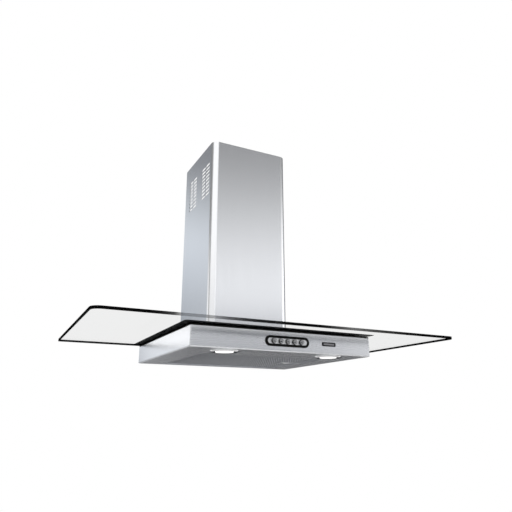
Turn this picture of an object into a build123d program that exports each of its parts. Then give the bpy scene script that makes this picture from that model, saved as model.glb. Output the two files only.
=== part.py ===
from build123d import *
from math import acos, degrees
import os

os.makedirs("parts", exist_ok=True)

# Wall-mounted chimney range hood with a flat glass panel, in millimetres.
# +Z is up, +Y points at the wall and +X is to the right for someone facing the hood.
# The origin is the centre of the four hanging holes, on the wall plane.

# Glass panel and the foam strip that it lies on
glass_width = 900.0
glass_depth = 500.0
glass_thickness = 6.0
glass_front_corner = 20.0
glass_rear_corner = 6.0
notch_clearance = 4.0
notch_corner = 8.0
gasket_thickness = 3.0
gasket_width = 14.0
gasket_relief = 4.0

# Canopy, folded from one sheet, and the lid inside its rim
canopy_width = 468.0
canopy_depth = 425.0
canopy_height = 45.0
canopy_sheet = 1.2
fold_radius = 2.5
lid_clearance = 0.2
lid_panel_gap = 2.0

# Filter opening in the canopy floor, with its edges turned up
side_strip = 64.0
front_strip = 107.0
rear_strip = 13.0
opening_lip = 4.0

# Fan wheel
impeller_diameter = 143.0
impeller_width = 84.0
blade_count = 36
blade_depth = 11.0
blade_thickness = 1.2
blade_bow = 2.0
blade_lead = 7.0
impeller_rim = 3.0
blade_seat = 0.8
hub_disc = 2.5
hub_radius = 11.0
hub_length = 20.0
shaft_radius = 4.0
shaft_inside_motor = 26.0
shaft_beyond_hub = 3.0
bearing_clearance = 0.05

# Scroll round the wheel, moulded in two halves
cutoff_gap = 7.0
scroll_growth = 5.0
scroll_wall = 2.0
scroll_side_gap = 6.0
neck_overlap = 18.0
neck_height = 55.0
inlet_margin = 2.0
ear_reach = 9.0
ear_width = 24.0
ear_thickness = 3.0

# Motor inside the wheel, on a three-armed bracket
motor_inlet_gap = 18.0
motor_hub_gap = 8.0
motor_bell = 8.0
motor_bell_step = 7.0
motor_seat_radius = 26.0
motor_boss_radius = 9.0
motor_boss_length = 4.0
bracket_plate = 2.0
bracket_rim = 8.0
bracket_arms = 3
bracket_arm_width = 12.0

# Galvanised box round the scroll, and the plate that hangs it on the wall
chassis_sheet = 1.0
chassis_flange = 10.0
scroll_clearance = 1.5
inlet_space = 45.0
intake_height = 40.0
wall_plate_thickness = 2.0
wall_plate_margin = 3.0
wall_plate_corner = 10.0
hang_above_chassis = 50.0
hang_spacing_x = 150.0
hang_spacing_z = 50.0
hang_hole_diameter = 9.0
hang_edge = 20.0

# Duct collar with two backdraught flaps on one pin
duct_diameter = 150.0
collar_wall = 2.0
collar_height = 62.0
collar_flange_width = 8.0
collar_flange_thickness = 2.5
collar_edge = 1.0
ledge_height = 18.0
ledge_width = 5.0
ledge_thickness = 2.0
flap_thickness = 1.0
flap_edge_gap = 1.0
flap_rest_gap = 0.3
flap_pin_gap = 4.0
pin_radius = 1.5
pin_seat_clearance = 0.1
pin_inset = 0.5
knuckle_radius = 3.2
knuckle_length = 20.0
knuckle_gap = 1.0

# Chimney cover round the chassis
cover_sheet = 1.0
side_space = 19.5
service_space = 45.0
chimney_height = 557.0
chimney_corner = 18.0
return_clearance = 5.5
slot_length = 29.0
slot_height = 5.4
slot_columns = 2
slot_column_pitch = 32.0
slot_rows = 9
slot_row_pitch = 11.2
slot_group_pitch = 104.0
slot_field_from_wall = 119.0
slot_field_below_top = 104.0
cover_bracket_sheet = 1.5
cover_bracket_height = 26.0
cover_bracket_below_top = 160.0
cover_bracket_fit = 0.3
cover_bracket_ear = 40.0
cover_bracket_spacing = 140.0
cover_bracket_hole_diameter = 6.0

# Angles that clamp the glass, and their screws
clamp_sheet = 2.0
clamp_edge_gap = 3.5
clamp_height = 22.0
clamp_end_gap = 14.0
clamp_screw_pitch = 90.0
clamp_screw_height = 13.0
screw_radius = 2.0
screw_hole_clearance = 0.1
screw_length = 6.0
screw_head_radius = 4.0
screw_head_height = 2.4
collar_screw_head_radius = 3.0
collar_screw_count = 4

# Electrical pieces on the chassis front
terminal_width = 84.0
terminal_depth = 26.0
terminal_height = 62.0
terminal_below_top = 30.0
terminal_from_middle = 34.0
terminal_fillet = 3.0
gland_flat_radius = 11.0
gland_hex_height = 6.0
gland_cap_height = 16.0
gland_cap_radius = 9.0
gland_bore = 4.0
capacitor_radius = 15.0
capacitor_height = 52.0
capacitor_from_middle = 52.0
capacitor_foot = 20.0

# Control panel in the canopy front
panel_width = 115.0
panel_height = 24.0
panel_below_top = 21.7
bezel_border_side = 5.3
bezel_border_top = 4.9
bezel_proud = 2.0
bezel_spigot_wall = 1.2
bezel_spigot_length = 6.0
bezel_fit = 0.3
plate_fit = 0.2
plate_thickness = 1.2
plate_recess = 0.8
button_names = ("light", "off", "speed_1", "speed_2", "speed_3")
button_pitch = 18.0
button_radius = 5.4
button_fit = 0.25
button_height = 4.8
button_dome = 0.7
button_flange = 0.6
button_flange_thickness = 1.0
button_travel = 3.0
button_stem_radius = 3.0
button_stem_length = 7.5
button_stem_clearance = 0.3
button_end_room = 2.0
block_fit = 0.4
block_ear = 8.0
block_ear_thickness = 3.0
block_ear_height = 10.0
block_back = 6.0

# Lamps in the canopy floor
lamp_from_side = 96.0
lamp_from_front = 42.0
lamp_rim_radius = 34.0
lamp_rim_edge = 0.5
lamp_rim_crown = 0.35
lamp_drop = 2.3
lens_radius = 20.7
lens_fit = 0.2
lens_bevel = 0.4
lens_bevel_width = 1.2
lens_depth = 4.5
lens_ledge = 2.2
lamp_spigot_radius = 30.0
lamp_spigot_height = 12.0
lamp_hole_clearance = 0.5
lamp_can_radius = 24.0
lamp_can_neck = 15.0
lamp_can_height = 24.0
lamp_can_flange = 3.0
driver_width = 44.0
driver_depth = 60.0
driver_height = 22.0
driver_from_lamp = 60.0
driver_from_front = 63.0

# Grease filter cassette with its latch
filter_gap = 1.5
filter_recess = 3.0
filter_height = 10.0
filter_border = 12.0
filter_corner = 4.0
filter_seat = 2.0
filter_lip = 1.0
filter_fit = 0.3
mesh_thickness = 1.0
mesh_edge = 8.0
mesh_pitch_x = 24.0
mesh_pitch_y = 22.0
mesh_strand = 2.5
pack_thickness = 2.0
hook_reach = 8.0
hook_width = 30.0
hook_spread = 180.0
hook_thickness = 1.2
rest_gap = 0.3
latch_width = 30.0
latch_thickness = 2.5
latch_side_fit = 0.3
latch_ledge = 2.0
latch_ledge_thickness = 1.0
latch_engagement = 6.0
latch_length = 44.0
latch_travel = 8.0
latch_wall = 7.0
latch_end_wall = 3.0
latch_grip_from_tip = 31.0
latch_grip_length = 10.0
latch_grip_drop = 1.2
latch_grip_fit = 1.0

# Heights, from the hanging holes down
impeller_radius = impeller_diameter / 2
scroll_radius = impeller_radius + cutoff_gap
scroll_low_radius = scroll_radius + scroll_growth
chassis_height = (
    intake_height + 2 * scroll_wall + scroll_low_radius + scroll_radius + neck_height
)
canopy_top_z = -(chassis_height + hang_above_chassis)
canopy_floor_z = canopy_top_z - canopy_height
glass_z = canopy_top_z + gasket_thickness
glass_top_z = glass_z + glass_thickness
chimney_top_z = glass_top_z + chimney_height
chassis_top_z = canopy_top_z + chassis_height
fan_z = canopy_top_z + intake_height + scroll_wall + scroll_low_radius
neck_top_z = chassis_top_z - chassis_sheet

# Depths, from the wall forwards
chassis_back_y = -wall_plate_thickness
fan_y = chassis_back_y - scroll_clearance - scroll_wall - scroll_radius
neck_rear_y = fan_y + neck_overlap
neck_front_y = fan_y - scroll_radius - 3 * scroll_growth
chassis_front_y = neck_front_y - scroll_wall - scroll_clearance - chassis_sheet
chassis_depth = chassis_back_y - chassis_front_y
chassis_mid_y = (chassis_back_y + chassis_front_y) / 2
chimney_depth = service_space + cover_sheet - chassis_front_y

# Widths, from the middle outwards
impeller_half = impeller_width / 2
scroll_half = impeller_half + scroll_side_gap + scroll_wall
chassis_half = scroll_half + inlet_space + chassis_sheet
chassis_width = 2 * chassis_half
chimney_half = chassis_half + side_space + cover_sheet
chimney_width = 2 * chimney_half
cover_inner_half = chimney_half - cover_sheet
notch_width = chassis_width + 2 * notch_clearance
notch_depth = notch_clearance - chassis_front_y
intake_width = chassis_width - 2 * (chassis_sheet + chassis_flange)
intake_front_y = chassis_front_y + chassis_sheet + chassis_flange
intake_rear_y = chassis_back_y - chassis_flange
clamp_leg = side_space - clamp_edge_gap


# Canopy shell: walls and floor in one sheet, open at the top
opening_width = canopy_width - 2 * side_strip
opening_front_y = front_strip - canopy_depth
opening_depth = canopy_depth - front_strip - rear_strip
opening_mid_y = opening_front_y + opening_depth / 2
lamp_from_middle = canopy_width / 2 - lamp_from_side
lamp_y = lamp_from_front - canopy_depth
lamp_hole_radius = lamp_spigot_radius + lamp_hole_clearance
lamp_places = [(-lamp_from_middle, lamp_y), (lamp_from_middle, lamp_y)]
panel_z = canopy_top_z - panel_below_top
spigot_width = panel_width - 2 * bezel_border_side + 2 * bezel_spigot_wall
spigot_height = panel_height - 2 * bezel_border_top + 2 * bezel_spigot_wall

with BuildPart() as canopy_shell:
    with BuildSketch(Plane.XY.offset(canopy_floor_z)):
        with Locations((0, -canopy_depth / 2)):
            Rectangle(canopy_width, canopy_depth)
    extrude(amount=canopy_height)
    rim_edges = canopy_shell.faces().sort_by(Axis.Z)[-1].edges()
    fillet([edge for edge in canopy_shell.edges() if edge not in rim_edges], fold_radius)
    with BuildSketch(Plane.XY.offset(canopy_floor_z + canopy_sheet)):
        with Locations((0, -canopy_depth / 2)):
            RectangleRounded(
                canopy_width - 2 * canopy_sheet,
                canopy_depth - 2 * canopy_sheet,
                fold_radius - canopy_sheet,
            )
    extrude(amount=canopy_height, mode=Mode.SUBTRACT)
    with BuildSketch(Plane.XY.offset(canopy_floor_z)):
        with Locations((0, opening_mid_y)):
            Rectangle(opening_width + 2 * canopy_sheet, opening_depth + 2 * canopy_sheet)
    extrude(amount=opening_lip)
    with BuildSketch(Plane.XY.offset(canopy_floor_z)):
        with Locations((0, opening_mid_y)):
            Rectangle(opening_width, opening_depth)
        with Locations(*lamp_places):
            Circle(lamp_hole_radius)
    extrude(amount=opening_lip, mode=Mode.SUBTRACT)
    with BuildSketch(Plane.XZ.offset(canopy_depth)):
        with Locations((0, panel_z)):
            SlotOverall(spigot_width + 2 * bezel_fit, spigot_height + 2 * bezel_fit)
    extrude(amount=-canopy_sheet, mode=Mode.SUBTRACT)
canopy_shell.part.label = "canopy_shell"
export_step(canopy_shell.part, "parts/canopy_shell.step")

# Lid inside the canopy's rim, with its edges turned down and the air intake cut out
lid_flange = panel_below_top - spigot_height / 2 - lid_panel_gap
lid_width = canopy_width - 2 * (canopy_sheet + lid_clearance)
lid_depth = canopy_depth - 2 * (canopy_sheet + lid_clearance)
intake_mid_y = (intake_front_y + intake_rear_y) / 2
intake_depth = intake_rear_y - intake_front_y

with BuildPart() as canopy_top:
    with BuildSketch(Plane.XY.offset(canopy_top_z)):
        with Locations((0, -canopy_depth / 2)):
            RectangleRounded(lid_width, lid_depth, fold_radius - canopy_sheet)
    extrude(amount=-lid_flange)
    with BuildSketch(Plane.XY.offset(canopy_top_z - canopy_sheet)):
        with Locations((0, -canopy_depth / 2)):
            Rectangle(lid_width - 2 * canopy_sheet, lid_depth - 2 * canopy_sheet)
    extrude(amount=-lid_flange, mode=Mode.SUBTRACT)
    with BuildSketch(Plane.XY.offset(canopy_top_z)):
        with Locations((0, intake_mid_y)):
            Rectangle(intake_width, intake_depth)
    extrude(amount=-canopy_sheet, mode=Mode.SUBTRACT)
canopy_top.part.label = "canopy_top"
export_step(canopy_top.part, "parts/canopy_top.step")

# Foam strip round the canopy's rim, left open behind the blower
with BuildPart() as glass_gasket:
    with BuildSketch(Plane.XY.offset(canopy_top_z)):
        with Locations((0, -canopy_depth / 2)):
            RectangleRounded(canopy_width, canopy_depth, fold_radius)
            Rectangle(
                canopy_width - 2 * gasket_width,
                canopy_depth - 2 * gasket_width,
                mode=Mode.SUBTRACT,
            )
        Rectangle(notch_width + 2 * gasket_relief, 4 * gasket_width, mode=Mode.SUBTRACT)
    extrude(amount=gasket_thickness)
glass_gasket.part.label = "glass_gasket"
export_step(glass_gasket.part, "parts/glass_gasket.step")

# Glass panel with a notch at the wall for the blower
with BuildPart() as glass_panel:
    with BuildSketch(Plane.XY.offset(glass_z)) as glass_outline:
        with Locations((0, -glass_depth / 2)):
            Rectangle(glass_width, glass_depth)
        fillet(glass_outline.vertices().group_by(Axis.Y)[0], glass_front_corner)
        fillet(glass_outline.vertices().group_by(Axis.Y)[-1], glass_rear_corner)
        RectangleRounded(notch_width, 2 * notch_depth, notch_corner, mode=Mode.SUBTRACT)
    extrude(amount=glass_thickness)
glass_panel.part.label = "glass_panel"
export_step(glass_panel.part, "parts/glass_panel.step")

# Chimney cover: front and sides in one sheet, with narrow returns along the wall
slot_field_z = chimney_top_z - slot_field_below_top
slot_groups = [
    (-slot_field_from_wall - slot_group_pitch / 2, slot_field_z),
    (-slot_field_from_wall + slot_group_pitch / 2, slot_field_z),
]
return_gap_width = chassis_width + 2 * return_clearance

with BuildPart() as chimney_cover:
    with BuildSketch(Plane.XY.offset(glass_top_z)) as cover_outline:
        with Locations((0, -chimney_depth / 2)):
            Rectangle(chimney_width, chimney_depth)
        fillet(cover_outline.vertices().group_by(Axis.Y)[0], chimney_corner)
    extrude(amount=chimney_height)
    with BuildSketch(Plane.XY.offset(glass_top_z)) as cover_hollow:
        with Locations((0, -chimney_depth / 2)):
            Rectangle(chimney_width - 2 * cover_sheet, chimney_depth - 2 * cover_sheet)
        fillet(cover_hollow.vertices().group_by(Axis.Y)[0], chimney_corner - cover_sheet)
        Rectangle(return_gap_width, 4 * cover_sheet)
    extrude(amount=chimney_height, mode=Mode.SUBTRACT)
    with BuildSketch(Plane.YZ):
        with Locations(*slot_groups):
            with GridLocations(slot_column_pitch, slot_row_pitch, slot_columns, slot_rows):
                SlotOverall(slot_length, slot_height)
    extrude(amount=chimney_half, both=True, mode=Mode.SUBTRACT)
chimney_cover.part.label = "chimney_cover"
export_step(chimney_cover.part, "parts/chimney_cover.step")

# Strap that pulls the cover's returns to the wall, with an ear along each side
strap_half = cover_inner_half - cover_bracket_fit
strap_z = chimney_top_z - cover_bracket_below_top - cover_bracket_height
strap_mid_z = strap_z + cover_bracket_height / 2

with BuildPart() as chimney_bracket:
    with BuildSketch(Plane.XY.offset(strap_z)):
        with Locations((0, -cover_sheet - cover_bracket_ear / 2)):
            Rectangle(2 * strap_half, cover_bracket_ear)
        with Locations((0, -cover_sheet - cover_bracket_sheet - cover_bracket_ear / 2)):
            Rectangle(
                2 * (strap_half - cover_bracket_sheet), cover_bracket_ear, mode=Mode.SUBTRACT
            )
    extrude(amount=cover_bracket_height)
    with BuildSketch(Plane.XZ):
        with Locations((0, strap_mid_z)):
            with GridLocations(cover_bracket_spacing, 0, 2, 1):
                Circle(cover_bracket_hole_diameter / 2)
    extrude(amount=cover_bracket_ear, mode=Mode.SUBTRACT)
chimney_bracket.part.label = "chimney_bracket"
export_step(chimney_bracket.part, "parts/chimney_bracket.step")

# Hanging plate against the wall, standing on the canopy's rear edge
plate_top_z = hang_spacing_z / 2 + hang_edge
plate_half = chassis_half + wall_plate_margin

with BuildPart() as wall_plate:
    with BuildSketch(Plane.XZ) as plate_outline:
        with Locations((0, (plate_top_z + canopy_top_z) / 2)):
            Rectangle(2 * plate_half, plate_top_z - canopy_top_z)
        fillet(plate_outline.vertices().group_by(Axis.Y)[-1], wall_plate_corner)
        with GridLocations(hang_spacing_x, hang_spacing_z, 2, 2):
            Circle(hang_hole_diameter / 2, mode=Mode.SUBTRACT)
    extrude(amount=wall_plate_thickness)
wall_plate.part.label = "wall_plate"
export_step(wall_plate.part, "parts/wall_plate.step")

# Chassis: front, sides and top round the scroll, with turned-in flanges
duct_radius = duct_diameter / 2
collar_bore = duct_radius - collar_wall
collar_screw_circle = duct_radius + collar_flange_width / 2
neck_depth = neck_rear_y - neck_front_y
neck_mid_y = (neck_rear_y + neck_front_y) / 2
screw_hole_radius = screw_radius + screw_hole_clearance
clamp_screw_z = glass_top_z + clamp_screw_height

with BuildPart() as blower_chassis:
    with BuildSketch(Plane.XY.offset(canopy_top_z)):
        with Locations((0, chassis_mid_y)):
            Rectangle(chassis_width, chassis_depth)
    extrude(amount=chassis_height)
    with BuildSketch(Plane.XY.offset(canopy_top_z + chassis_sheet)):
        with Locations((0, chassis_mid_y)):
            Rectangle(chassis_width - 2 * chassis_sheet, chassis_depth - 2 * chassis_sheet)
        with Locations((0, chassis_back_y)):
            Rectangle(intake_width, 4 * chassis_sheet)
    extrude(amount=chassis_height - 2 * chassis_sheet, mode=Mode.SUBTRACT)
    with BuildSketch(Plane.XY.offset(canopy_top_z)):
        with Locations((0, intake_mid_y)):
            Rectangle(intake_width, intake_depth)
    extrude(amount=chassis_sheet, mode=Mode.SUBTRACT)
    with BuildSketch(Plane.XY.offset(neck_top_z)):
        with Locations((0, chassis_mid_y)):
            Circle(collar_bore - ledge_width)
        with Locations((0, neck_mid_y)):
            Rectangle(2 * (scroll_half - scroll_wall), neck_depth, mode=Mode.INTERSECT)
    extrude(amount=chassis_sheet, mode=Mode.SUBTRACT)
    with BuildSketch(Plane.XY.offset(neck_top_z)):
        with Locations((0, chassis_mid_y)):
            with PolarLocations(collar_screw_circle, collar_screw_count, start_angle=45):
                Circle(screw_hole_radius)
    extrude(amount=chassis_sheet, mode=Mode.SUBTRACT)
    with BuildSketch(Plane.YZ):
        with Locations((chassis_mid_y, clamp_screw_z)):
            with GridLocations(clamp_screw_pitch, 0, 2, 1):
                Circle(screw_hole_radius)
    extrude(amount=chassis_half, both=True, mode=Mode.SUBTRACT)
    with BuildSketch(Plane.XZ.offset(-chassis_front_y)):
        with Locations((0, clamp_screw_z)):
            with GridLocations(clamp_screw_pitch, 0, 2, 1):
                Circle(screw_hole_radius)
    extrude(amount=-chassis_sheet, mode=Mode.SUBTRACT)
blower_chassis.part.label = "blower_chassis"
export_step(blower_chassis.part, "parts/blower_chassis.step")


# Fan scroll: an outline from three centres, growing a step each quarter turn
def scroll_face(grow):
    """Return the scroll's outline as a flat face, moved outwards by grow."""
    lip_radius = scroll_radius + grow
    tongue_y = neck_rear_y + grow
    lip_angle = degrees(acos((tongue_y - fan_y) / lip_radius))
    low_centre = (fan_y - scroll_growth, fan_z)
    front_centre = (fan_y - scroll_growth, fan_z + scroll_growth)
    with BuildSketch() as outline:
        with BuildLine():
            rear = CenterArc((fan_y, fan_z), lip_radius, lip_angle, -lip_angle)
            CenterArc(low_centre, lip_radius + scroll_growth, 0, -90)
            front = CenterArc(front_centre, lip_radius + 2 * scroll_growth, -90, -90)
            Polyline(
                front @ 1,
                (neck_front_y - grow, neck_top_z),
                (tongue_y, neck_top_z),
                rear @ 0,
            )
        make_face()
    return outline.sketch


cage_radius = impeller_radius - blade_depth
inlet_radius = cage_radius - inlet_margin

with BuildPart() as scroll_right:
    with BuildSketch(Plane.YZ):
        add(scroll_face(scroll_wall))
        add(scroll_face(0), mode=Mode.SUBTRACT)
    extrude(amount=scroll_half)
    with BuildSketch(Plane.YZ.offset(scroll_half - scroll_wall)):
        add(scroll_face(scroll_wall))
        with Locations((fan_y, fan_z)):
            Circle(inlet_radius, mode=Mode.SUBTRACT)
    extrude(amount=scroll_wall)
    with BuildSketch(Plane.XY.offset(neck_top_z)):
        with Locations((scroll_half + ear_reach / 2, neck_mid_y)):
            Rectangle(ear_reach, ear_width)
    extrude(amount=-ear_thickness)
scroll_right.part.label = "scroll_right"
export_step(scroll_right.part, "parts/scroll_right.step")

with BuildPart() as scroll_left:
    mirror(scroll_right.part, about=Plane.YZ)
scroll_left.part.label = "scroll_left"
export_step(scroll_left.part, "parts/scroll_left.step")

# Three-armed bracket across the left inlet
arm_start = motor_seat_radius / 2
arm_length = inlet_radius + bracket_rim / 2 - arm_start

with BuildPart() as motor_bracket:
    with BuildSketch(Plane.YZ.offset(-scroll_half)):
        with Locations((fan_y, fan_z)):
            Circle(inlet_radius + bracket_rim)
            Circle(inlet_radius, mode=Mode.SUBTRACT)
            Circle(motor_seat_radius)
            with PolarLocations(arm_start + arm_length / 2, bracket_arms):
                Rectangle(arm_length, bracket_arm_width)
    extrude(amount=-bracket_plate)
motor_bracket.part.label = "motor_bracket"
export_step(motor_bracket.part, "parts/motor_bracket.step")

# Motor: a turned body with stepped end bells and a bearing boss towards the hub
fan_plane = Plane(origin=(0, fan_y, fan_z), x_dir=(1, 0, 0), z_dir=(0, -1, 0))
fan_axis = Axis((0, fan_y, fan_z), (1, 0, 0))
hub_start_x = 0.0
motor_radius = inlet_radius - motor_inlet_gap
motor_front_x = hub_start_x - motor_hub_gap
motor_rear_x = -scroll_half
boss_end_x = motor_front_x + motor_boss_length
bell_radius = motor_radius - motor_bell_step
bearing_radius = shaft_radius + bearing_clearance
shaft_start_x = boss_end_x - shaft_inside_motor

with BuildPart() as fan_motor:
    with BuildSketch(fan_plane):
        with BuildLine():
            Polyline(
                (motor_rear_x, 0),
                (motor_rear_x, bell_radius),
                (motor_rear_x + motor_bell, motor_radius),
                (motor_front_x - motor_bell, motor_radius),
                (motor_front_x, bell_radius),
                (motor_front_x, motor_boss_radius),
                (boss_end_x, motor_boss_radius),
                (boss_end_x, bearing_radius),
                (shaft_start_x - motor_boss_length, bearing_radius),
                (shaft_start_x - motor_boss_length, 0),
                close=True,
            )
        make_face()
    revolve(axis=fan_axis)
fan_motor.part.label = "fan_motor"
export_step(fan_motor.part, "parts/fan_motor.step")

# Shaft, from inside the motor to just past the hub
hub_end_x = hub_start_x + hub_length
shaft_length = hub_end_x + shaft_beyond_hub - shaft_start_x

with BuildPart() as fan_shaft:
    with BuildSketch(Plane.YZ.offset(shaft_start_x)):
        with Locations((fan_y, fan_z)):
            Circle(shaft_radius)
    extrude(amount=shaft_length)
fan_shaft.part.label = "fan_shaft"
export_step(fan_shaft.part, "parts/fan_shaft.step")

# Cage wheel: a hub disc that meets the inner edges of the blades
with BuildPart() as fan_impeller:
    with BuildSketch(Plane.YZ.offset(hub_start_x)):
        with Locations((fan_y, fan_z)):
            Circle(cage_radius - blade_seat)
    extrude(amount=hub_disc)
    with BuildSketch(Plane.YZ.offset(hub_start_x)):
        with Locations((fan_y, fan_z)):
            Circle(hub_radius)
    extrude(amount=hub_length)
    with BuildSketch(Plane.YZ.offset(hub_start_x)):
        with Locations((fan_y, fan_z)):
            Circle(bearing_radius)
    extrude(amount=hub_length, mode=Mode.SUBTRACT)
fan_impeller.part.label = "fan_impeller"
export_step(fan_impeller.part, "parts/fan_impeller.step")

# Rims at the wheel's two ends
for side_name, rim_x in (("left", -impeller_half), ("right", impeller_half - impeller_rim)):
    with BuildPart() as fan_rim:
        with BuildSketch(Plane.YZ.offset(rim_x)):
            with Locations((fan_y, fan_z)):
                Circle(impeller_radius)
                Circle(cage_radius - blade_seat, mode=Mode.SUBTRACT)
        extrude(amount=impeller_rim)
    fan_rim.part.label = f"fan_rim_{side_name}"
    export_step(fan_rim.part, f"parts/fan_rim_{side_name}.step")

# Blades between the rims, bowed towards the turn
blade_length = impeller_width - 2 * impeller_rim
with BuildSketch() as blade:
    with BuildLine():
        SagittaArc(
            (cage_radius, 0),
            Vector(impeller_radius - blade_thickness / 2, 0).rotate(Axis.Z, blade_lead),
            blade_bow,
        )
    trace(line_width=blade_thickness)

with BuildPart() as fan_blades:
    with BuildSketch(Plane.YZ.offset(-blade_length / 2)):
        with Locations((fan_y, fan_z)):
            with PolarLocations(0, blade_count):
                add(blade.sketch)
    extrude(amount=blade_length)
fan_blades.part.label = "fan_blades"
export_step(fan_blades.part, "parts/fan_blades.step")

# Duct collar: flange, tube and the ledge that the flaps close on
collar_plane = Plane(origin=(0, chassis_mid_y, chassis_top_z), x_dir=(1, 0, 0), z_dir=(0, -1, 0))
ledge_top_z = chassis_top_z + ledge_height
flap_z = ledge_top_z + flap_rest_gap
pin_z = flap_z + flap_thickness / 2

with BuildPart() as outlet_collar:
    with BuildSketch(Plane.XY.offset(chassis_top_z)):
        with Locations((0, chassis_mid_y)):
            Circle(duct_radius + collar_flange_width)
            Rectangle(
                chassis_width - 2 * collar_edge,
                chassis_depth - 2 * collar_edge,
                mode=Mode.INTERSECT,
            )
            with PolarLocations(collar_screw_circle, collar_screw_count, start_angle=45):
                Circle(screw_hole_radius, mode=Mode.SUBTRACT)
    extrude(amount=collar_flange_thickness)
    with BuildSketch(Plane.XY.offset(chassis_top_z)):
        with Locations((0, chassis_mid_y)):
            Circle(duct_radius)
    extrude(amount=collar_height)
    with BuildSketch(Plane.XY.offset(chassis_top_z)):
        with Locations((0, chassis_mid_y)):
            Circle(collar_bore - ledge_width)
    extrude(amount=collar_height, mode=Mode.SUBTRACT)
    with BuildSketch(Plane.XY.offset(ledge_top_z)):
        with Locations((0, chassis_mid_y)):
            Circle(collar_bore)
    extrude(amount=collar_height, mode=Mode.SUBTRACT)
    with BuildSketch(Plane.XY.offset(chassis_top_z)):
        with Locations((0, chassis_mid_y)):
            Circle(collar_bore)
    extrude(amount=ledge_height - ledge_thickness, mode=Mode.SUBTRACT)
    with BuildSketch(Plane.YZ):
        with Locations((chassis_mid_y, pin_z)):
            Circle(pin_radius + pin_seat_clearance)
    extrude(amount=duct_radius, both=True, mode=Mode.SUBTRACT)
outlet_collar.part.label = "outlet_collar"
export_step(outlet_collar.part, "parts/outlet_collar.step")

# Pin across the collar
with BuildPart() as damper_pin:
    with BuildSketch(Plane.YZ):
        with Locations((chassis_mid_y, pin_z)):
            Circle(pin_radius)
    extrude(amount=duct_radius - pin_inset, both=True)
damper_pin.part.label = "damper_pin"
export_step(damper_pin.part, "parts/damper_pin.step")

# Flaps: half discs with knuckles that interleave on the pin
outer_knuckle_x = knuckle_length + knuckle_gap
flap_knuckles = {
    "damper_flap_front": (-1, (-outer_knuckle_x, outer_knuckle_x)),
    "damper_flap_rear": (1, (0,)),
}
for flap_name, (flap_side, knuckle_places) in flap_knuckles.items():
    with BuildPart() as flap:
        with BuildSketch(Plane.XY.offset(flap_z)):
            with Locations((0, chassis_mid_y)):
                Circle(collar_bore - flap_edge_gap)
            with Locations((0, chassis_mid_y + flap_side * (flap_pin_gap + duct_radius / 2))):
                Rectangle(duct_diameter, duct_radius, mode=Mode.INTERSECT)
            for knuckle_x in knuckle_places:
                with Locations((knuckle_x, chassis_mid_y + flap_side * flap_pin_gap / 2)):
                    Rectangle(knuckle_length, flap_pin_gap)
        extrude(amount=flap_thickness)
        for knuckle_x in knuckle_places:
            with BuildSketch(Plane.YZ.offset(knuckle_x - knuckle_length / 2)):
                with Locations((chassis_mid_y, pin_z)):
                    Circle(knuckle_radius)
            extrude(amount=knuckle_length)
        with BuildSketch(Plane.YZ):
            with Locations((chassis_mid_y, pin_z)):
                Circle(pin_radius + bearing_clearance)
        extrude(amount=duct_radius, both=True, mode=Mode.SUBTRACT)
    flap.part.label = flap_name
    export_step(flap.part, f"parts/{flap_name}.step")

# Screws that hold the collar down
with BuildPart() as collar_screws:
    with BuildSketch(Plane.XY.offset(chassis_top_z + collar_flange_thickness)):
        with Locations((0, chassis_mid_y)):
            with PolarLocations(collar_screw_circle, collar_screw_count, start_angle=45):
                Circle(collar_screw_head_radius)
    extrude(amount=screw_head_height)
    with BuildSketch(Plane.XY.offset(chassis_top_z + collar_flange_thickness)):
        with Locations((0, chassis_mid_y)):
            with PolarLocations(collar_screw_circle, collar_screw_count, start_angle=45):
                Circle(screw_radius)
    extrude(amount=-screw_length)
collar_screws.part.label = "collar_screws"
export_step(collar_screws.part, "parts/collar_screws.step")

# Steel angles that clamp the glass against the canopy, on three sides of the chassis
clamp_length_y = chassis_depth - 2 * clamp_end_gap
clamp_length_x = chassis_width - 2 * clamp_end_gap

for side_name, side in (("left", -1), ("right", 1)):
    with BuildPart() as clamp:
        with BuildSketch(Plane.XZ.offset(-chassis_mid_y)):
            with BuildLine():
                Polyline(
                    (side * chassis_half, glass_top_z),
                    (side * (chassis_half + clamp_leg), glass_top_z),
                    (side * (chassis_half + clamp_leg), glass_top_z + clamp_sheet),
                    (side * (chassis_half + clamp_sheet), glass_top_z + clamp_sheet),
                    (side * (chassis_half + clamp_sheet), glass_top_z + clamp_height),
                    (side * chassis_half, glass_top_z + clamp_height),
                    close=True,
                )
            make_face()
        extrude(amount=clamp_length_y / 2, both=True)
        with BuildSketch(Plane.YZ):
            with Locations((chassis_mid_y, clamp_screw_z)):
                with GridLocations(clamp_screw_pitch, 0, 2, 1):
                    Circle(screw_hole_radius)
        extrude(amount=2 * chassis_half, both=True, mode=Mode.SUBTRACT)
    clamp.part.label = f"glass_clamp_{side_name}"
    export_step(clamp.part, f"parts/glass_clamp_{side_name}.step")

with BuildPart() as glass_clamp_front:
    with BuildSketch(Plane.YZ):
        with BuildLine():
            Polyline(
                (chassis_front_y, glass_top_z),
                (chassis_front_y - clamp_leg, glass_top_z),
                (chassis_front_y - clamp_leg, glass_top_z + clamp_sheet),
                (chassis_front_y - clamp_sheet, glass_top_z + clamp_sheet),
                (chassis_front_y - clamp_sheet, glass_top_z + clamp_height),
                (chassis_front_y, glass_top_z + clamp_height),
                close=True,
            )
        make_face()
    extrude(amount=clamp_length_x / 2, both=True)
    with BuildSketch(Plane.XZ.offset(-chassis_front_y)):
        with Locations((0, clamp_screw_z)):
            with GridLocations(clamp_screw_pitch, 0, 2, 1):
                Circle(screw_hole_radius)
    extrude(amount=clamp_sheet, mode=Mode.SUBTRACT)
glass_clamp_front.part.label = "glass_clamp_front"
export_step(glass_clamp_front.part, "parts/glass_clamp_front.step")

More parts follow.
